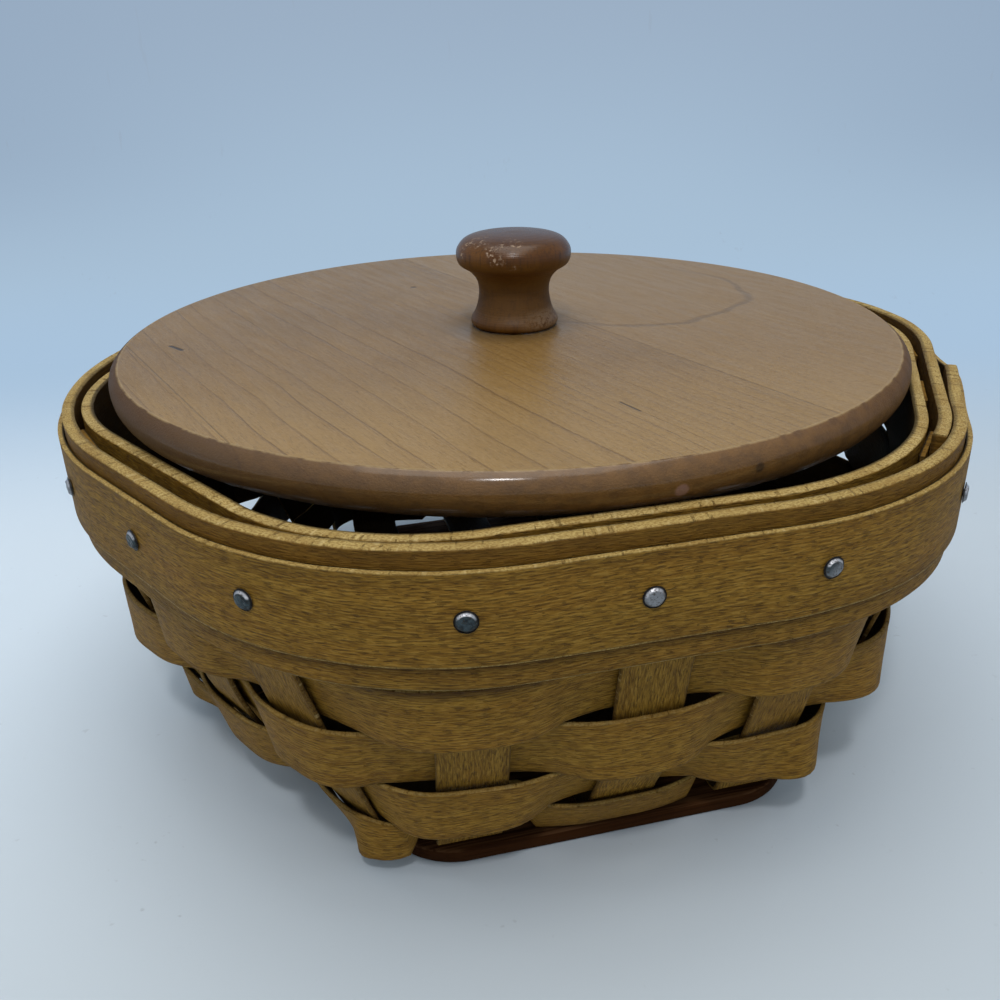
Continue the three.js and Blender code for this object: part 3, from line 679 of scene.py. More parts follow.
def tackSpots():
    # seat, direction and length of each tack, first round the rim and then under the base
    found = []
    for side in range(sides):
        for along in tack["places"][side]:
            inner, _ = ringPoint(innerBand["apothem"], innerBand["radii"], side, along)
            outer, out = ringPoint(outerBand["apothem"], outerBand["radii"], side, along)
            face = outer + out * (trim["thickness"] + trim["gap"] + outermostShift(side, along))
            innerFace = inner + Vector((innerBand["shift"], 0, 0)) - out * band["thickness"]
            base = face + out * tack["seat"]
            found.append((lean(base + Vector((0, 0, tack["height"]))), out,
                          (face - innerFace).dot(out)))
    top = layerZ(2) + splint["thickness"] / 2 + tack["seat"]
    for i in range(sides):
        place = heading(i * sideTurn) * tack["ring"] + Vector((0, 0, top))
        found.append((place, Vector((0, 0, 1)), top - splint["board"] + tack["baseDepth"]))
    return found


def tackTree():
    tree = bpy.data.node_groups.new("tacks", "GeometryNodeTree")
    net, given = addSockets(tree, "Spots", (
        ("Head Radius", "NodeSocketFloat", 0.0024), ("Head Height", "NodeSocketFloat", 0.0009),
        ("Shank Radius", "NodeSocketFloat", 0.0008), ("Dent", "NodeSocketFloat", 0.0002),
        ("Seed", "NodeSocketInt", 3), ("Steel", "NodeSocketMaterial", None)), "Tacks")
    spots, radius, height, shank, dent, seed, steel = given
    spin = net.node("FunctionNodeRandomValue", {"data_type": "FLOAT"}, 1, i2=0.0, i3=6.283, i8=seed)
    along = net.node("FunctionNodeAlignRotationToVector", {"axis": "Z"}, i2=net.carried("axis"))
    turned = net.node("FunctionNodeRotateRotation", {"rotation_space": "LOCAL"}, i0=along,
                      i1=net.node("FunctionNodeAxisAngleToRotation", i0=(0, 0, 1), i1=spin))

    # the head: a ball pressed into a low button with a flat seat
    ball = net.node("GeometryNodeMeshUVSphere", i0=tack["around"], i1=tack["rings"], i2=1.0)
    where = net.node("GeometryNodeInputPosition")
    marked = net.store(ball, "button", "FLOAT_VECTOR", where)
    x, y, z = net.split(where)
    flat = net.span(x, y)
    reach = net.maths("MINIMUM", flat * 1.2, 1)
    bulge = reach / net.maths("MAXIMUM", flat, 0.001)
    bevel = net.maths("GREATER_THAN", z, 0) * (0.12 + 0.88 * net.ease(1 - reach, 0.0, 0.38))
    button = net.node("GeometryNodeSetPosition", i0=marked, i2=net.join(
        x * bulge * radius, y * bulge * radius, bevel * height))
    heads = net.node("GeometryNodeInstanceOnPoints", i0=spots, i2=button, i5=turned)
    rod = net.node("GeometryNodeMeshCylinder", {"fill_type": "NGON"},
                   i0=tack["shankSides"], i1=1, i2=1, i3=shank, i4=1.0)
    hung = net.node("GeometryNodeTransform", i0=rod, i1=(0, 0, -0.5))
    shanks = net.node("GeometryNodeInstanceOnPoints", i0=spots, i2=hung, i5=turned,
                      i6=net.join(1, 1, net.carried("length", "FLOAT")))
    realHeads = net.node("GeometryNodeRealizeInstances", i0=heads)

    # each head is dented by its own patch of the pattern, except at its seat
    place = net.node("GeometryNodeInputPosition")
    chips = net.cells(place, 950.0)
    hit = net.noise(place, 420.0, 1) - 0.5
    raised = net.ease(net.split(net.carried("button"))[2], -0.1, 0.3)
    dented = net.node("GeometryNodeSetPosition", i0=realHeads, i3=net.vector(
        "SCALE", net.node("GeometryNodeInputNormal"), scale=(hit * 1.5 - chips * 0.7) * dent * raised))
    joined = tree.nodes.new("GeometryNodeJoinGeometry")
    for part in (shanks, dented):
        tree.links.new(part.socket, joined.inputs[0])
    soft = net.node("GeometryNodeSetShadeSmooth", {"domain": "FACE"},
                    i0=Wire(net, joined.outputs[0]), i2=True)
    endTree(net, soft, steel)
    return tree


steelLook = {
    "dark": (0.060, 0.082, 0.092), "dull": (0.028, 0.034, 0.038), "bright": (0.40, 0.40, 0.42),
    "rubAndHighlight": (0.60, 0.60, 0.63), "rust": (0.05, 0.035, 0.02), "ring": (0.012, 0.008, 0.005),
    "gloss": 0.5, "metallic": 0.85,
}


def tackSteel():
    # dark with age, its upper rim, where it faces up, painted bright as a painted highlight
    look = steelLook
    made, net, shader = material("tack_steel", look["gloss"])
    at = net.node("ShaderNodeTexCoord", None, 3)
    x, y, _ = net.split(net.read("button"))
    dull = net.noise(at, 900, 3, 0.6)
    pits = net.noise(at, 2600, 2, 0.6)
    out = net.span(x, y)
    upward = net.split(net.node("ShaderNodeNewGeometry", None, 1))[2]
    pitted = net.ease(pits, 0.56, 0.66)
    # painted highlight: the upper rim is lightened where its normal faces up
    color = net.layers(
        net.blend(net.ease(dull, 0.38, 0.66), look["dark"], look["dull"]),
        (net.ease(net.noise(at, 45, 1), 0.50, 0.60) * 0.65, look["bright"]),
        (net.ease(out, 0.55, 0.61) * net.ease(upward, 0.16, 0.40) * 0.9, look["rubAndHighlight"]),
        # painted shade: the head's outer edge is painted near black where it meets the wood
        (pitted * 0.7, look["rust"]), (net.ease(out, 0.68, 0.76) * 0.95, look["ring"]))
    height = dull * 0.6 + net.cells(at, 1100) - pitted * 0.5
    varied(shader, net, Base_Color=color, Metallic=look["metallic"],
           Normal=net.bump(height, 0.45, 0.0003), Roughness=net.ease(dull, 0.3, 0.7, 0.34, 0.56))
    return made


steel = tackSteel()
spots = tackSpots()
spotMesh = bpy.data.meshes.new("spots")
spotMesh.from_pydata([place * mm for place, _, _ in spots], [], [])
annotate(spotMesh, "axis", [out for _, out, _ in spots])
annotate(spotMesh, "length", [length * mm for _, _, length in spots])
tacks = grow("tacks", spotMesh, tackTree(), {
    "Head Radius": tack["headRadius"] * mm, "Head Height": tack["headHeight"] * mm,
    "Shank Radius": tack["shank"] * mm, "Dent": tack["dent"] * mm, "Seed": 5, "Steel": steel})
settle(tacks, "basket", "tack_steel", *[f"tack_{i:02d}" for i in range(1, 19)],
       *[f"base_tack_{i}" for i in range(1, 7)])
print("tacks driven")


# turned and sawn solids

def ringsToMesh(name, rings, closedRing, finish):
    # rings of (place, place in the piece's own frame), each joined to the next
    mesh = bpy.data.meshes.new(name)
    form = bmesh.new()
    local = form.verts.layers.float_vector.new("local")
    rows = []
    for ring in rings:
        rows.append([])
        for place, own in ring:
            vertex = form.verts.new(place * mm)
            vertex[local] = own
            rows[-1].append(vertex)
    count = len(rows[0])
    pairs = list(zip(rows, rows[1:])) + ([(rows[-1], rows[0])] if closedRing else [])
    for low, high in pairs:
        for i in range(count):
            j = (i + 1) % count
            form.faces.new((low[i], low[j], high[j], high[i]))
    if not closedRing:
        form.faces.new(rows[0][::-1])
        form.faces.new(rows[-1])
    bmesh.ops.recalc_face_normals(form, faces=form.faces)
    for face in form.faces:
        face.smooth = True
    form.to_mesh(mesh)
    form.free()
    mesh.materials.append(finish)
    return linked(name, mesh)


lid = {
    "radius": 104.5, "topRound": 4, "underRound": 6.9, "gap": 0.3, "shift": -0.3,
    "slopeX": -0.012, "slopeY": -0.001, "around": 320, "roundSteps": 14, "wobble": 0.14,
    "arrisTurn": 25, "grainTurn": -71.5, "joints": (18.2, -92.4), "flats": (20, 45, 70, 90),
    "wobbleFrom": 8,
}
knob = {
    "shiftX": 2.2, "shiftY": 0.6, "height": 24.95, "cap": 15.4, "neck": 9.5, "foot": 11.8, "gap": 0.3,
    "footRound": 0.6, "around": 128, "steps": 8,
}
screw = {"radius": 1.8, "head": 3.8, "depth": 2.2, "reach": 14, "taper": 3, "tip": 0.3,
         "clearance": 0.3, "sink": 0.1, "around": 48}
lidThickness = lid["topRound"] + lid["underRound"]


def lidFoot():
    # the height at which the lid's rounded underside comes to rest in the inner band's mouth
    mouth = innerBand["apothem"] - band["thickness"]
    heights = []
    for side in range(sides):
        out = heading(-math.pi / 2 + side * sideTurn)
        past = (mouth - (lid["radius"] - lid["underRound"])
                + (innerBand["shift"] - lid["shift"]) * out.x)
        bed = math.sqrt((lid["underRound"] + lid["gap"]) ** 2 - past ** 2) - lid["underRound"]
        slope = lid["slopeX"] * out.x + lid["slopeY"] * out.y
        heights.append(innerBand["top"] + bed - mouth * slope)
    return max(heights)


arrisTurn = math.radians(lid["arrisTurn"])
overRound = lid["topRound"] / math.cos(arrisTurn)
arris = lid["radius"] - overRound * (1 - math.sin(arrisTurn))
lidUp = Vector((-(rim["leanX"] + lid["slopeX"]), -(rim["leanY"] + lid["slopeY"]), 1)).normalized()
lidTurn = Vector((0, 0, 1)).rotation_difference(lidUp)
lidPlace = lean(Vector((0, 0, lidFoot()))) + Vector((lid["shift"], 0, 0))


def turned(name, profile, around, finish, closed, shift=(0, 0), wobble=None):
    # a profile of (radius, height) turned about the lid's axis, a little aside from it where asked
    rings = []
    for radius, height in profile:
        rings.append([])
        for i in range(around):
            p = heading(2 * math.pi * i / around) * radius + Vector((0, 0, height))
            if wobble:
                p = wobble(p)
            rings[-1].append((lidTurn @ (p + Vector((*shift, 0))) + lidPlace, p))
    return ringsToMesh(name, rings, closed, finish)


def lidProfile():
    # rounded under, rounded over as far as a clear arris, and flat on top
    profile = [(screw["head"] + screw["clearance"], 0)]
    profile += [(r, 0) for r in lid["flats"]]
    for i in range(lid["roundSteps"] + 1):
        turn = math.pi / 2 * i / lid["roundSteps"]
        profile.append((lid["radius"] - lid["underRound"] * (1 - math.sin(turn)),
                        lid["underRound"] * (1 - math.cos(turn))))
    for i in range(1, lid["roundSteps"] + 1):
        turn = (math.pi / 2 - arrisTurn) * i / lid["roundSteps"]
        profile.append((lid["radius"] - overRound * (1 - math.cos(turn)),
                        lid["underRound"] + overRound * math.sin(turn)))
    profile.append((arris - 0.2, lidThickness - 0.01))
    profile += [(arris - inset, lidThickness) for inset in (0.6, 3)]
    profile += [(r, lidThickness) for r in lid["flats"][::-1]]
    bore = screw["radius"] + screw["clearance"]
    return profile + [(bore, lidThickness), (bore, screw["depth"])]


def lidWobble(p):
    # slight flats and dents where the edge was worked by hand
    reach = math.hypot(p.x, p.y)
    if reach < lid["radius"] - lid["wobbleFrom"]:
        return p
    soft = noise.noise(Vector((p.x * 0.03, p.y * 0.03, 4))) + 0.5 * noise.noise(p * 0.2)
    return p - Vector((p.x, p.y, 0)) * (lid["wobble"] * max(0, soft) / reach)


def stroke(net, x, y, start, end, half, soft):
    # 1 along a short line between two places, nothing away from it
    dx, dy = end[0] - start[0], end[1] - start[1]
    share = ((x - start[0]) * dx + (y - start[1]) * dy) / (dx * dx + dy * dy)
    share = net.clamp(share, 0, 1)
    away = net.span(x - start[0] - share * dx, y - start[1] - share * dy)
    return net.line(away, half, soft)


lidLook = {
    "dark": (0.196, 0.108, 0.028), "light": (0.232, 0.130, 0.036), "right": (0.246, 0.142, 0.044),
    "front": (0.38, 0.235, 0.075), "tone": (0.155, 0.080, 0.020), "late": (0.095, 0.044, 0.010),
    "fibreLight": (0.34, 0.22, 0.09), "fibreDark": (0.130, 0.066, 0.018),
    "gritLight": (0.38, 0.26, 0.14), "gritDark": (0.12, 0.062, 0.02), "pore": (0.06, 0.028, 0.009),
    "mark": (0.028, 0.014, 0.005), "nick": (0.32, 0.21, 0.11), "rubAndHighlight": (0.38, 0.26, 0.11),
    "side": (0.165, 0.070, 0.009), "sideDirt": (0.100, 0.040, 0.005), "sideLeft": (0.10, 0.045, 0.012),
    "sideFar": (0.060, 0.025, 0.005), "sideUpper": (0.058, 0.022, 0.002),
    "ringPitch": 7.6, "closePitch": 5.5, "closeFrom": -22,
    "tide": {"x": 42, "y": 26, "radius": 37.5, "wander": 12, "half": 0.4, "soft": 1.3, "share": 0.30},
    # start, end, half width, softness and share of each mark on top
    "strokes": (((-89.5, 6.9), (-86.5, 2.1), 0.35, 0.4, 0.9),
                ((-17.7, 54.3), (-17.6, 54.2), 0.6, 0.5, 0.8),
                ((8.3, -69.3), (10.4, -75.9), 0.15, 0.3, 0.7)),
    # place, size and colour of each spot on the edge
    "spots": (((8.5, -104.0, 4.8), 1.0, (0.34, 0.19, 0.15)),
              ((25.6, -101.6, 6.5), 0.7, (0.02, 0.01, 0.004))),
    "gloss": 0.36, "coatRough": 0.16,
}


def lidWood():
    # three boards edge to edge, oiled and worn, their growth rings cut across at the rim
    look = lidLook
    made, net, shader = material("lid_wood", look["gloss"])
    x, y, z = net.split(net.read("local"))
    grain = heading(math.radians(lid["grainTurn"]))
    along = x * grain.x + y * grain.y
    across = y * grain.x - x * grain.y
    second, third = lid["joints"]
    right = net.maths("GREATER_THAN", across, second)
    left = net.maths("LESS_THAN", across, third)

    # growth rings, each a soft rise in tone that ends in a thin dark line
    waver = (net.noise((along * 0.009, across * 0.02, 2), detail=2) - 0.5) * 9
    fine = (net.noise((along * 0.06, across * 0.15, z * 0.15), detail=3) - 0.5) * 1.3
    ring = across + waver + fine + z * 0.5
    closer = net.maths("MAXIMUM", ring - look["closeFrom"], 0) / look["closePitch"]
    uneven = net.noise((0, ring * 0.11, 5), detail=1) * 1.1
    step = net.maths("FRACT", ring / look["ringPitch"] + closer + uneven)
    late = net.ease(step, 0.87, 0.94) * (1 - net.ease(step, 0.95, 0.985))
    tone = net.ease(step, 0.1, 0.94) * (1 - net.ease(step, 0.95, 1.0))
    strong = net.ease(net.noise((along * 0.012, ring * 0.14, 7), detail=2), 0.38, 0.62)
    late = late * (0.45 + strong * 0.45) * (1 - right * 0.78)
    fibre = net.noise((along * 0.09, across * 2.6, z * 2.6), detail=4, rough=0.7)
    pore = net.noise((along * 0.30, across * 4.6, z * 4.6), detail=2, rough=0.6)
    pores = net.ease(pore, 0.60, 0.68)
    grit = net.noise((x * 1.1, y * 1.1, z * 1.1), detail=4, rough=0.75)
    cloud = net.noise((x * 0.02, y * 0.02, 9), detail=4, rough=0.6)
    # front: how far a place lies towards the camera, where the lid is painted lighter as painted light
    front = -0.225 * x - 0.974 * y

    # handling marks, a tide mark, and the joints between the boards
    reach = net.span(x, y)
    ripple = (net.noise((x * 0.04, y * 0.04, 3), detail=2) - 0.5) * look["tide"]["wander"]
    tide = net.span(x - look["tide"]["x"], y - look["tide"]["y"]) + ripple - look["tide"]["radius"]
    lower = net.ease(x * 0.6 - y * 0.8, -30, 40)
    marks = net.line(tide, look["tide"]["half"], look["tide"]["soft"]) * lower * look["tide"]["share"]
    for joint in lid["joints"]:
        marks = net.maths("MAXIMUM", marks, net.line(across - joint, 0.08, 0.2) * 0.35)
    for start, end, half, soft, share in look["strokes"]:
        marks = net.maths("MAXIMUM", marks, stroke(net, x, y, start, end, half, soft) * share)
    nicks = net.noise((x * 0.35 + y * 0.1, y * 0.35, 6), detail=2, rough=0.6)

    # the edge: darker, and darker still to the left as painted shade, its upper rounding darkened as
    # painted shade, its arris paler, partly rubbed and partly a painted highlight
    side = net.maths("MAXIMUM", net.ease(reach, arris - 0.1, arris + 0.15),
                     net.ease(z, lidThickness - 1.5, lidThickness - 2.5))
    dirt = net.noise((x * 0.3, y * 0.3, z * 0.5), detail=3, rough=0.6)
    edgeDirtAndShade = net.layers(
        net.blend(net.ease(dirt, 0.35, 0.7), look["side"], look["sideDirt"]),
        (left * 0.5, look["sideLeft"]), (net.ease(x, -10, -95) * 0.75, look["sideFar"]))
    # painted shade: the upper rounding of the edge is darkened, less so at the front
    upper = side * net.ease(z, lidThickness - 5, lidThickness - 1.5)
    upper = upper * (1 - net.ease(front, 55, 90) * 0.6)
    # a paler line along the arris: partly rubbed wear, partly painted highlight
    arrisRubAndHighlight = net.line(reach - arris, 0.14, 0.3) * net.ease(z, lidThickness - 1, lidThickness - 0.5)
    color = net.layers(
        net.blend(net.ease(cloud, 0.34, 0.66), look["dark"], look["light"]),
        (right * 0.8, look["right"]), (net.ease(front, 20, 95) * 0.45, look["front"]),
        (tone * 0.14 * (1 - right * 0.7), look["tone"]), (late * 0.62, look["late"]),
        (net.ease(fibre, 0.52, 0.70) * 0.28, look["fibreLight"]),
        (net.ease(fibre, 0.48, 0.32) * 0.28, look["fibreDark"]),
        (net.ease(grit, 0.50, 0.66) * 0.26, look["gritLight"]),
        (net.ease(grit, 0.48, 0.34) * 0.24, look["gritDark"]), (pores * 0.4, look["pore"]),
        (marks, look["mark"]), (net.ease(nicks, 0.70, 0.78) * 0.35, look["nick"]),
        (side * 0.86, edgeDirtAndShade), (upper * 0.55, look["sideUpper"]),
        (arrisRubAndHighlight * net.ease(dirt, 0.65, 0.4) * 0.5, look["rubAndHighlight"]))
    for (px, py, pz), size, spot in look["spots"]:
        color = net.blend(net.line(net.span(x - px, y - py, z - pz), size, 0.8) * 0.7, color, spot)
    scuff = net.noise((along * 0.05, across * 0.35, 4), detail=3, rough=0.6)
    brushed = net.noise((x * 1.6, y * 1.6, z * 2.4), detail=3, rough=0.7)
    height = fibre * 0.6 + grit * 0.35 - pores * 0.6 - marks * 1.5 - late * 0.4
    height = height * (1 - side * 0.5) + brushed * side * 1.8
    varied(shader, net, Base_Color=color, Normal=net.bump(height, 0.35, 0.0003),
           Roughness=net.ease(scuff, 0.3, 0.7, 0.29, 0.38) + side * 0.3,
           Coat_Weight=side * net.ease(front, 60, 98) * 0.6, Coat_Roughness=look["coatRough"])
    return made


knobLook = {
    "dark": (0.084, 0.028, 0.002), "light": (0.124, 0.047, 0.004), "fibre": (0.034, 0.012, 0.003),
    "waist": (0.104, 0.044, 0.001), "crown": (0.060, 0.024, 0.005), "rubAndHighlight": (0.21, 0.125, 0.06),
    "bare": (0.42, 0.30, 0.20), "dust": (0.02, 0.008, 0.003), "gloss": 0.36,
}


def knobWood():
    # dark stained wood, turned, polished by hands, with its edge worn back to bare wood in places; the
    # pale flecks on the cap and a paler patch on the foot are partly painted highlight
    look, tall = knobLook, knob["height"]
    made, net, shader = material("knob_wood", look["gloss"])
    own = net.read("local")
    x, y, z = net.split(own)
    height = z - lidThickness
    fibre = net.noise((x * 1.3, y * 1.3, z * 0.12), detail=3, rough=0.6)
    cloud = net.noise(net.vector("SCALE", own, scale=0.12), detail=2)
    chips = net.noise(net.vector("SCALE", own, scale=0.16), detail=2, rough=0.6)
    flecks = net.noise(net.vector("SCALE", own, scale=1.1), detail=3, rough=0.7)
    # pale flecks on the cap's shoulder, on its left front only: bare wood, partly painted highlight
    shoulder = net.line(height - tall * 0.86, 1.6, 2.4)
    bare = net.ease(chips, 0.50, 0.60) * net.ease(flecks, 0.54, 0.62) * shoulder * net.ease(x, 5, -2)
    waist = net.line(height - tall * 0.42, 5, 6)
    crown = net.ease(height, tall * 0.86, tall * 0.97)
    # a paler patch low on the foot's right: rubbed wear, partly painted highlight
    rubAndHighlight = net.ease(x * 0.8 - y * 0.4, 2, 9) * net.line(height - tall * 0.12, 1.6, 2) * 0.75
    dust = net.line(height - tall * 0.28, 3, 4) * net.ease(flecks, 0.5, 0.7) * 0.25
    color = net.layers(
        net.blend(net.ease(cloud, 0.35, 0.68), look["dark"], look["light"]),
        (net.ease(fibre, 0.46, 0.70) * 0.6, look["fibre"]), (waist * 0.6, look["waist"]),
        (crown * 0.6, look["crown"]), (rubAndHighlight * net.ease(flecks, 0.36, 0.56), look["rubAndHighlight"]),
        (bare * 0.85, look["bare"]), (dust, look["dust"]))
    grooves = net.noise((0, 0, z * 2.4), detail=2)
    varied(shader, net, Base_Color=color, Roughness=0.22 + bare * 0.3 + cloud * 0.14 + waist * 0.3,
           Normal=net.bump(grooves * 0.8 + fibre * 0.25 - bare * 1.2 + cloud, 0.3, 0.0004))
    return made


lidPiece = turned("lid_disc", lidProfile(), lid["around"], lidWood(), True, wobble=lidWobble)
settle(lidPiece, "lid", "lid_wood", "lid")


def curveThrough(points, steps):
    # a smooth run through the points
    found = []
    last = len(points) - 1
    for i in range(last):
        a, b, c, d = [points[min(last, max(0, i + k))] for k in (-1, 0, 1, 2)]
        for s in range(steps):
            t = s / steps
            found.append(tuple(
                0.5 * (2 * b[k] + (c[k] - a[k]) * t + (2 * a[k] - 5 * b[k] + 4 * c[k] - d[k]) * t * t
                       + (3 * b[k] - a[k] - 3 * c[k] + d[k]) * t ** 3) for k in (0, 1)))
    found.append(points[last])
    return found


def knobProfile():
    foot, neck, cap = knob["foot"], knob["neck"], knob["cap"]
    shape = curveThrough([
        (foot - knob["footRound"], 0), (foot, 0.03), (foot * 0.99, 0.09), (neck * 1.09, 0.19),
        (neck, 0.36), (neck * 1.06, 0.5), (neck * 1.27, 0.6), (cap * 0.95, 0.67), (cap, 0.76),
        (cap * 0.97, 0.85), (cap * 0.82, 0.94), (cap * 0.5, 0.985), (0.4, 1)], knob["steps"])
    base = lidThickness + knob["gap"]
    bore = screw["radius"] + screw["clearance"]
    hole = screw["reach"] + screw["clearance"]
    bottom = [(bore * 0.3, hole), (bore, hole), (bore, base), (bore + 3, base)]
    return bottom + [(r, base + share * knob["height"]) for r, share in shape]


aside = (knob["shiftX"], knob["shiftY"])
knobPiece = turned("knob_turned", knobProfile(), knob["around"], knobWood(), False, aside)
settle(knobPiece, "lid", "knob_wood", "knob")
screwProfile = [
    (0.3, screw["sink"]), (screw["head"] - 0.3, screw["sink"]),
    (screw["head"] - 0.1, screw["sink"] + 0.1), (screw["radius"], screw["depth"]),
    (screw["radius"], screw["reach"] - screw["taper"]), (screw["tip"], screw["reach"])]
screwPiece = turned("knob_screw_turned", screwProfile, screw["around"], steel, False, aside)
settle(screwPiece, "lid", "tack_steel", "knob_screw")
print("lid and knob turned")


# the base board, with its own margin beyond the wall on each side

board = {
    "margins": [2.2, 0.4, 0.9, 0.9, 0.4, -3.2], "thickness": splint["board"], "radius": 19,
    "cornerSteps": 16, "sideSteps": 12, "spread": (0.35, 0.65, 0.9),
    "edge": ((1.0, 0), (0.45, 0.12), (0.12, 0.45), (0, 1.0)),
    "dark": (0.027, 0.0085, 0.002), "light": (0.045, 0.0145, 0.003), "fibre": (0.018, 0.006, 0.002),
    "rubAndHighlight": (0.14, 0.07, 0.03), "rubHeight": 3.9, "gloss": 0.05,
}


def boardWood():
    made, net, shader = material("board_wood", board["gloss"])
    x, y, z = net.split(net.vector("SCALE", net.node("ShaderNodeTexCoord", None, 3), scale=1000))
    fibre = net.noise((x * 0.03, y * 1.2, z * 1.2), detail=3, rough=0.6)
    ring = net.noise((x * 0.006, y * 0.12, z * 0.1), detail=2)
    # a paler line along the top arris: partly rubbed wear, partly painted highlight
    edge = net.line(z - board["rubHeight"], 0.25, 0.3)
    color = net.layers(
        net.blend(net.ease(ring, 0.35, 0.65), board["dark"], board["light"]),
        (net.ease(fibre, 0.5, 0.7) * 0.6, board["fibre"]),
        (edge * net.ease(fibre, 0.6, 0.4) * 0.4, board["rubAndHighlight"]))
    varied(shader, net, Base_Color=color, Normal=net.bump(fibre, 0.4, 0.0004),
           Roughness=net.ease(fibre, 0.3, 0.7, 0.65, 0.8))
    return made


def boardOutline():
    # places and outward directions round the edge; corner i lies after side i + 1
    found = []
    for i in range(sides):
        angle = i * sideTurn
        before, after = [wall["baseApothem"] + board["margins"][side % sides] - board["radius"]
                         for side in (i + 1, i + 2)]
        reach = (before + after) / (2 * math.cos(halfSide))
        slip = after - before
        middle = heading(angle) * reach + heading(angle + math.pi / 2) * slip
        corner = []
        for s in range(board["cornerSteps"] + 1):
            out = heading(angle - halfSide + sideTurn * s / board["cornerSteps"])
            corner.append((middle + out * board["radius"], out))
        if found:
            found += straight(found[-1], corner[0])
        found += corner
    return found + straight(found[-1], found[0])


def straight(start, end):
    return [(start[0].lerp(end[0], s / board["sideSteps"]), start[1])
            for s in range(1, board["sideSteps"])]


# rings over its surface: the share of the outline, the inset from it and the height
outline = boardOutline()
lower = [(share, 0, 0) for share in board["spread"]] + [(1, inset, z) for inset, z in board["edge"]]
upper = [(scale, inset, board["thickness"] - z) for scale, inset, z in lower[::-1]]
boardRings = []
for scale, inset, z in lower + [(1, 0, board["thickness"] / 2)] + upper:
    places = [p * scale - out * inset + Vector((0, 0, z)) for p, out in outline]
    boardRings.append([(p, p) for p in places])
boardPiece = ringsToMesh("foot_board", boardRings, False, boardWood())
settle(boardPiece, "basket", "board_wood", "base_board")
print("board cut")


# the room: pale floor, pale backdrop, a big soft light overhead and a small one in front

room = {
    "floor": (0.66, 0.75, 0.83), "floorFront": (0.475, 0.525, 0.550), "floorSide": (0.49, 0.55, 0.60),
    "speck": (0.30, 0.33, 0.36), "rough": 0.6, "gloss": 0.2,
    "horizon": (0.397, 0.546, 0.716), "low": (0.392, 0.527, 0.672), "high": (0.325, 0.420, 0.545),
    "side": (0.30, 0.40, 0.53), "backSpeck": (0.30, 0.36, 0.44),
    "sweepFrom": 0.27, "sweepRadius": 0.12, "sweepSteps": 16, "height": 1.6, "half": 2.5,
    "front": -2.0, "turn": -13, "sky": (0.86, 0.93, 1.0), "skyStrength": 0.54,
    "lamps": {
        "overhead": {"at": (-0.02, -0.04, 1.0), "size": 0.80, "power": 5.1, "color": (1, 0.97, 0.93)},
        "window": {"at": (-0.16, -0.60, 0.98), "size": 0.09, "power": 2.2, "color": (1, 0.98, 0.98)},
    },
    "aim": (0, 0, 0.08),
}


def floorPaint():
    # a pale floor that keeps the shadow, painted darker to the front and to the right as painted shade,
    # and a backdrop that glows a painted pale blue, darker upward and to the sides
    made, net, shader = material("floor", room["gloss"])
    x, y, z = net.split(net.node("ShaderNodeTexCoord", None, 3))
    specks = net.noise((x * 260, y * 260, z * 40), detail=2, rough=0.6)
    blots = net.noise((x * 30, y * 30, z * 12), detail=2)
    faint = net.ease(specks, 0.66, 0.74) * net.ease(blots, 0.52, 0.66) * 0.35
    # painted shade: the floor's tone darkens towards the front and to the right
    varied(shader, net, Roughness=room["rough"], Base_Color=net.layers(
        net.blend(net.ease(y, -0.30, 0.05), room["floorFront"], room["floor"]),
        (net.ease(x, 0.02, 0.20) * 0.7, room["floorSide"]), (faint, room["speck"])))
    aside = net.ease(net.maths("ABSOLUTE", x), 0.06, 0.40) * net.ease(z, 0.02, 0.12)
    # painted glow: the backdrop is seen by the camera and in reflections as an emitted gradient
    back = net.layers(
        net.blend(net.ease(z, 0.0, 0.05), room["horizon"], room["low"]),
        (net.ease(z, 0.03, 0.22), room["high"]), (aside * 0.8, room["side"]),
        (faint * 0.6, room["backSpeck"]))
    glow = net.node("ShaderNodeEmission", i0=back, i1=1.0)
    path = net.node("ShaderNodeLightPath").socket.node.outputs
    seen = net.maths("MAXIMUM", Wire(net, path["Is Camera Ray"]), Wire(net, path["Is Glossy Ray"]))
    both = net.node("ShaderNodeMixShader", i0=seen * net.ease(y, 0.06, 0.30),
                    i1=Wire(net, shader.outputs[0]), i2=glow)
    net.feed(made.node_tree.nodes["Material Output"].inputs[0], both)
    return made


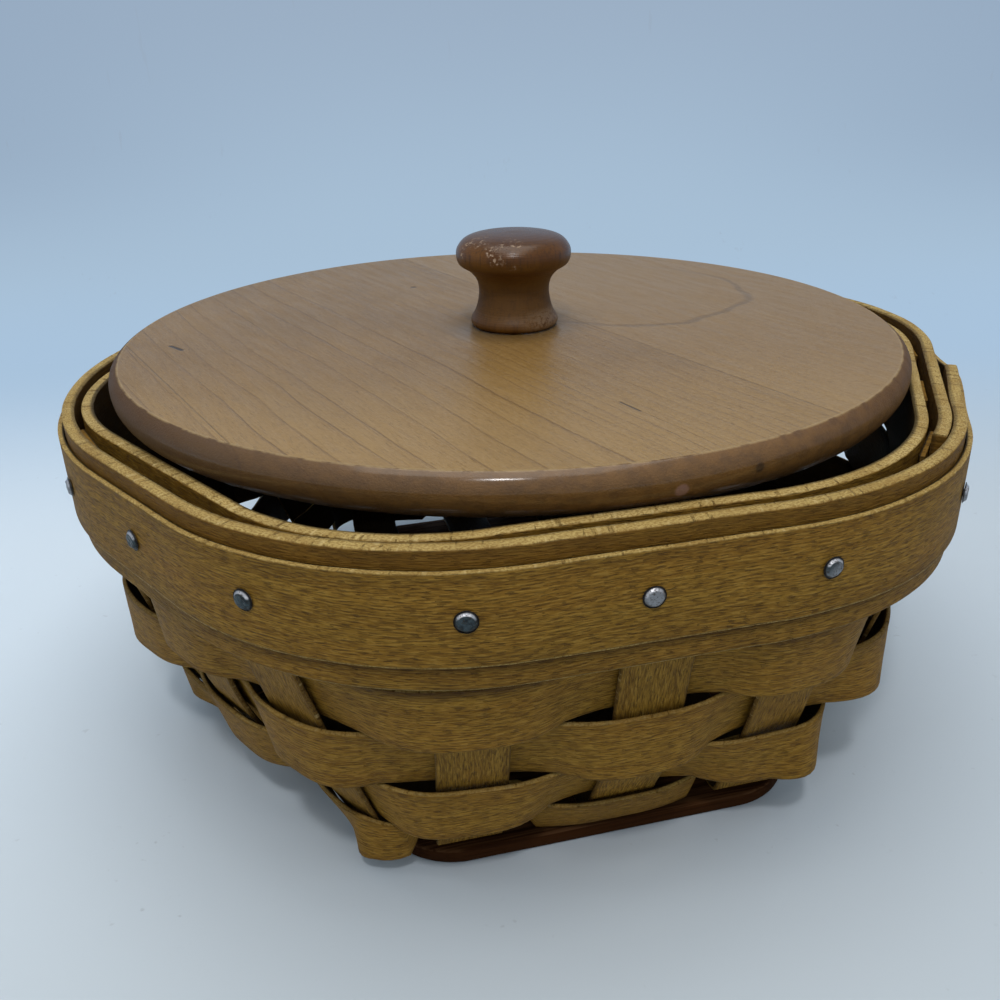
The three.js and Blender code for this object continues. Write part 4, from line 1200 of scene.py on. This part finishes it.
def addRoom():
    mesh = bpy.data.meshes.new("floor")
    form = bmesh.new()
    profile = [(room["front"], 0), (room["sweepFrom"], 0)]
    for i in range(1, room["sweepSteps"] + 1):
        turn = math.pi / 2 * i / room["sweepSteps"]
        profile.append((room["sweepFrom"] + room["sweepRadius"] * math.sin(turn),
                        room["sweepRadius"] * (1 - math.cos(turn))))
    profile.append((room["sweepFrom"] + room["sweepRadius"], room["height"]))
    rows = [[form.verts.new((x, y, z)) for x in (-room["half"], room["half"])] for y, z in profile]
    for a, b in zip(rows, rows[1:]):
        form.faces.new((a[0], a[1], b[1], b[0]))
    for face in form.faces:
        face.smooth = True
    form.to_mesh(mesh)
    form.free()
    mesh.materials.append(floorPaint())
    floor = linked("floor", mesh)
    floor.rotation_euler = (0, 0, math.radians(room["turn"]))


def addLights():
    for name, lamp in room["lamps"].items():
        data = bpy.data.lights.new(name, "AREA")
        data.size = lamp["size"]
        data.energy = lamp["power"]
        data.color = lamp["color"]
        light = linked(name, data)
        light.location = lamp["at"]
        away = Vector(room["aim"]) - Vector(lamp["at"])
        light.rotation_euler = away.to_track_quat("-Z", "Y").to_euler()
    world = bpy.data.worlds.new("world")
    bpy.context.scene.world = world
    world.use_nodes = True
    sky = world.node_tree.nodes["Background"]
    sky.inputs[0].default_value = (*room["sky"], 1)
    sky.inputs[1].default_value = room["skyStrength"]


# the camera, where the photograph was taken from

camera = {"place": (-0.06053, -0.26164, 0.18429), "pitch": 0.460, "yaw": -0.012, "roll": 0.038,
          "turn": -13.025, "focal": 1009.5, "width": 1000, "sensor": 36, "nearest": 0.01}


def addCamera():
    data = bpy.data.cameras.new("camera")
    data.sensor_width = camera["sensor"]
    data.lens = camera["focal"] / camera["width"] * camera["sensor"]
    data.clip_start = camera["nearest"]
    pitch, yaw, roll = camera["pitch"], camera["yaw"], camera["roll"]
    ahead = Vector((math.sin(yaw) * math.cos(pitch), math.cos(yaw) * math.cos(pitch), -math.sin(pitch)))
    right = Vector((math.cos(yaw), -math.sin(yaw), 0))
    down = ahead.cross(right)
    xAxis = right * math.cos(roll) + down * math.sin(roll)
    yAxis = right * math.sin(roll) - down * math.cos(roll)
    turn = Quaternion((0, 0, 1), math.radians(camera["turn"]))
    seen = linked("camera", data)
    rows = [turn @ axis for axis in (xAxis, yAxis, -ahead)]
    seen.rotation_euler = Matrix(rows).transposed().to_euler()
    seen.location = camera["place"]
    bpy.context.scene.camera = seen


addRoom()
addLights()
addCamera()
bpy.context.scene.view_settings.view_transform = "Standard"
print("room, lights and camera set")

bpy.context.view_layer.update()
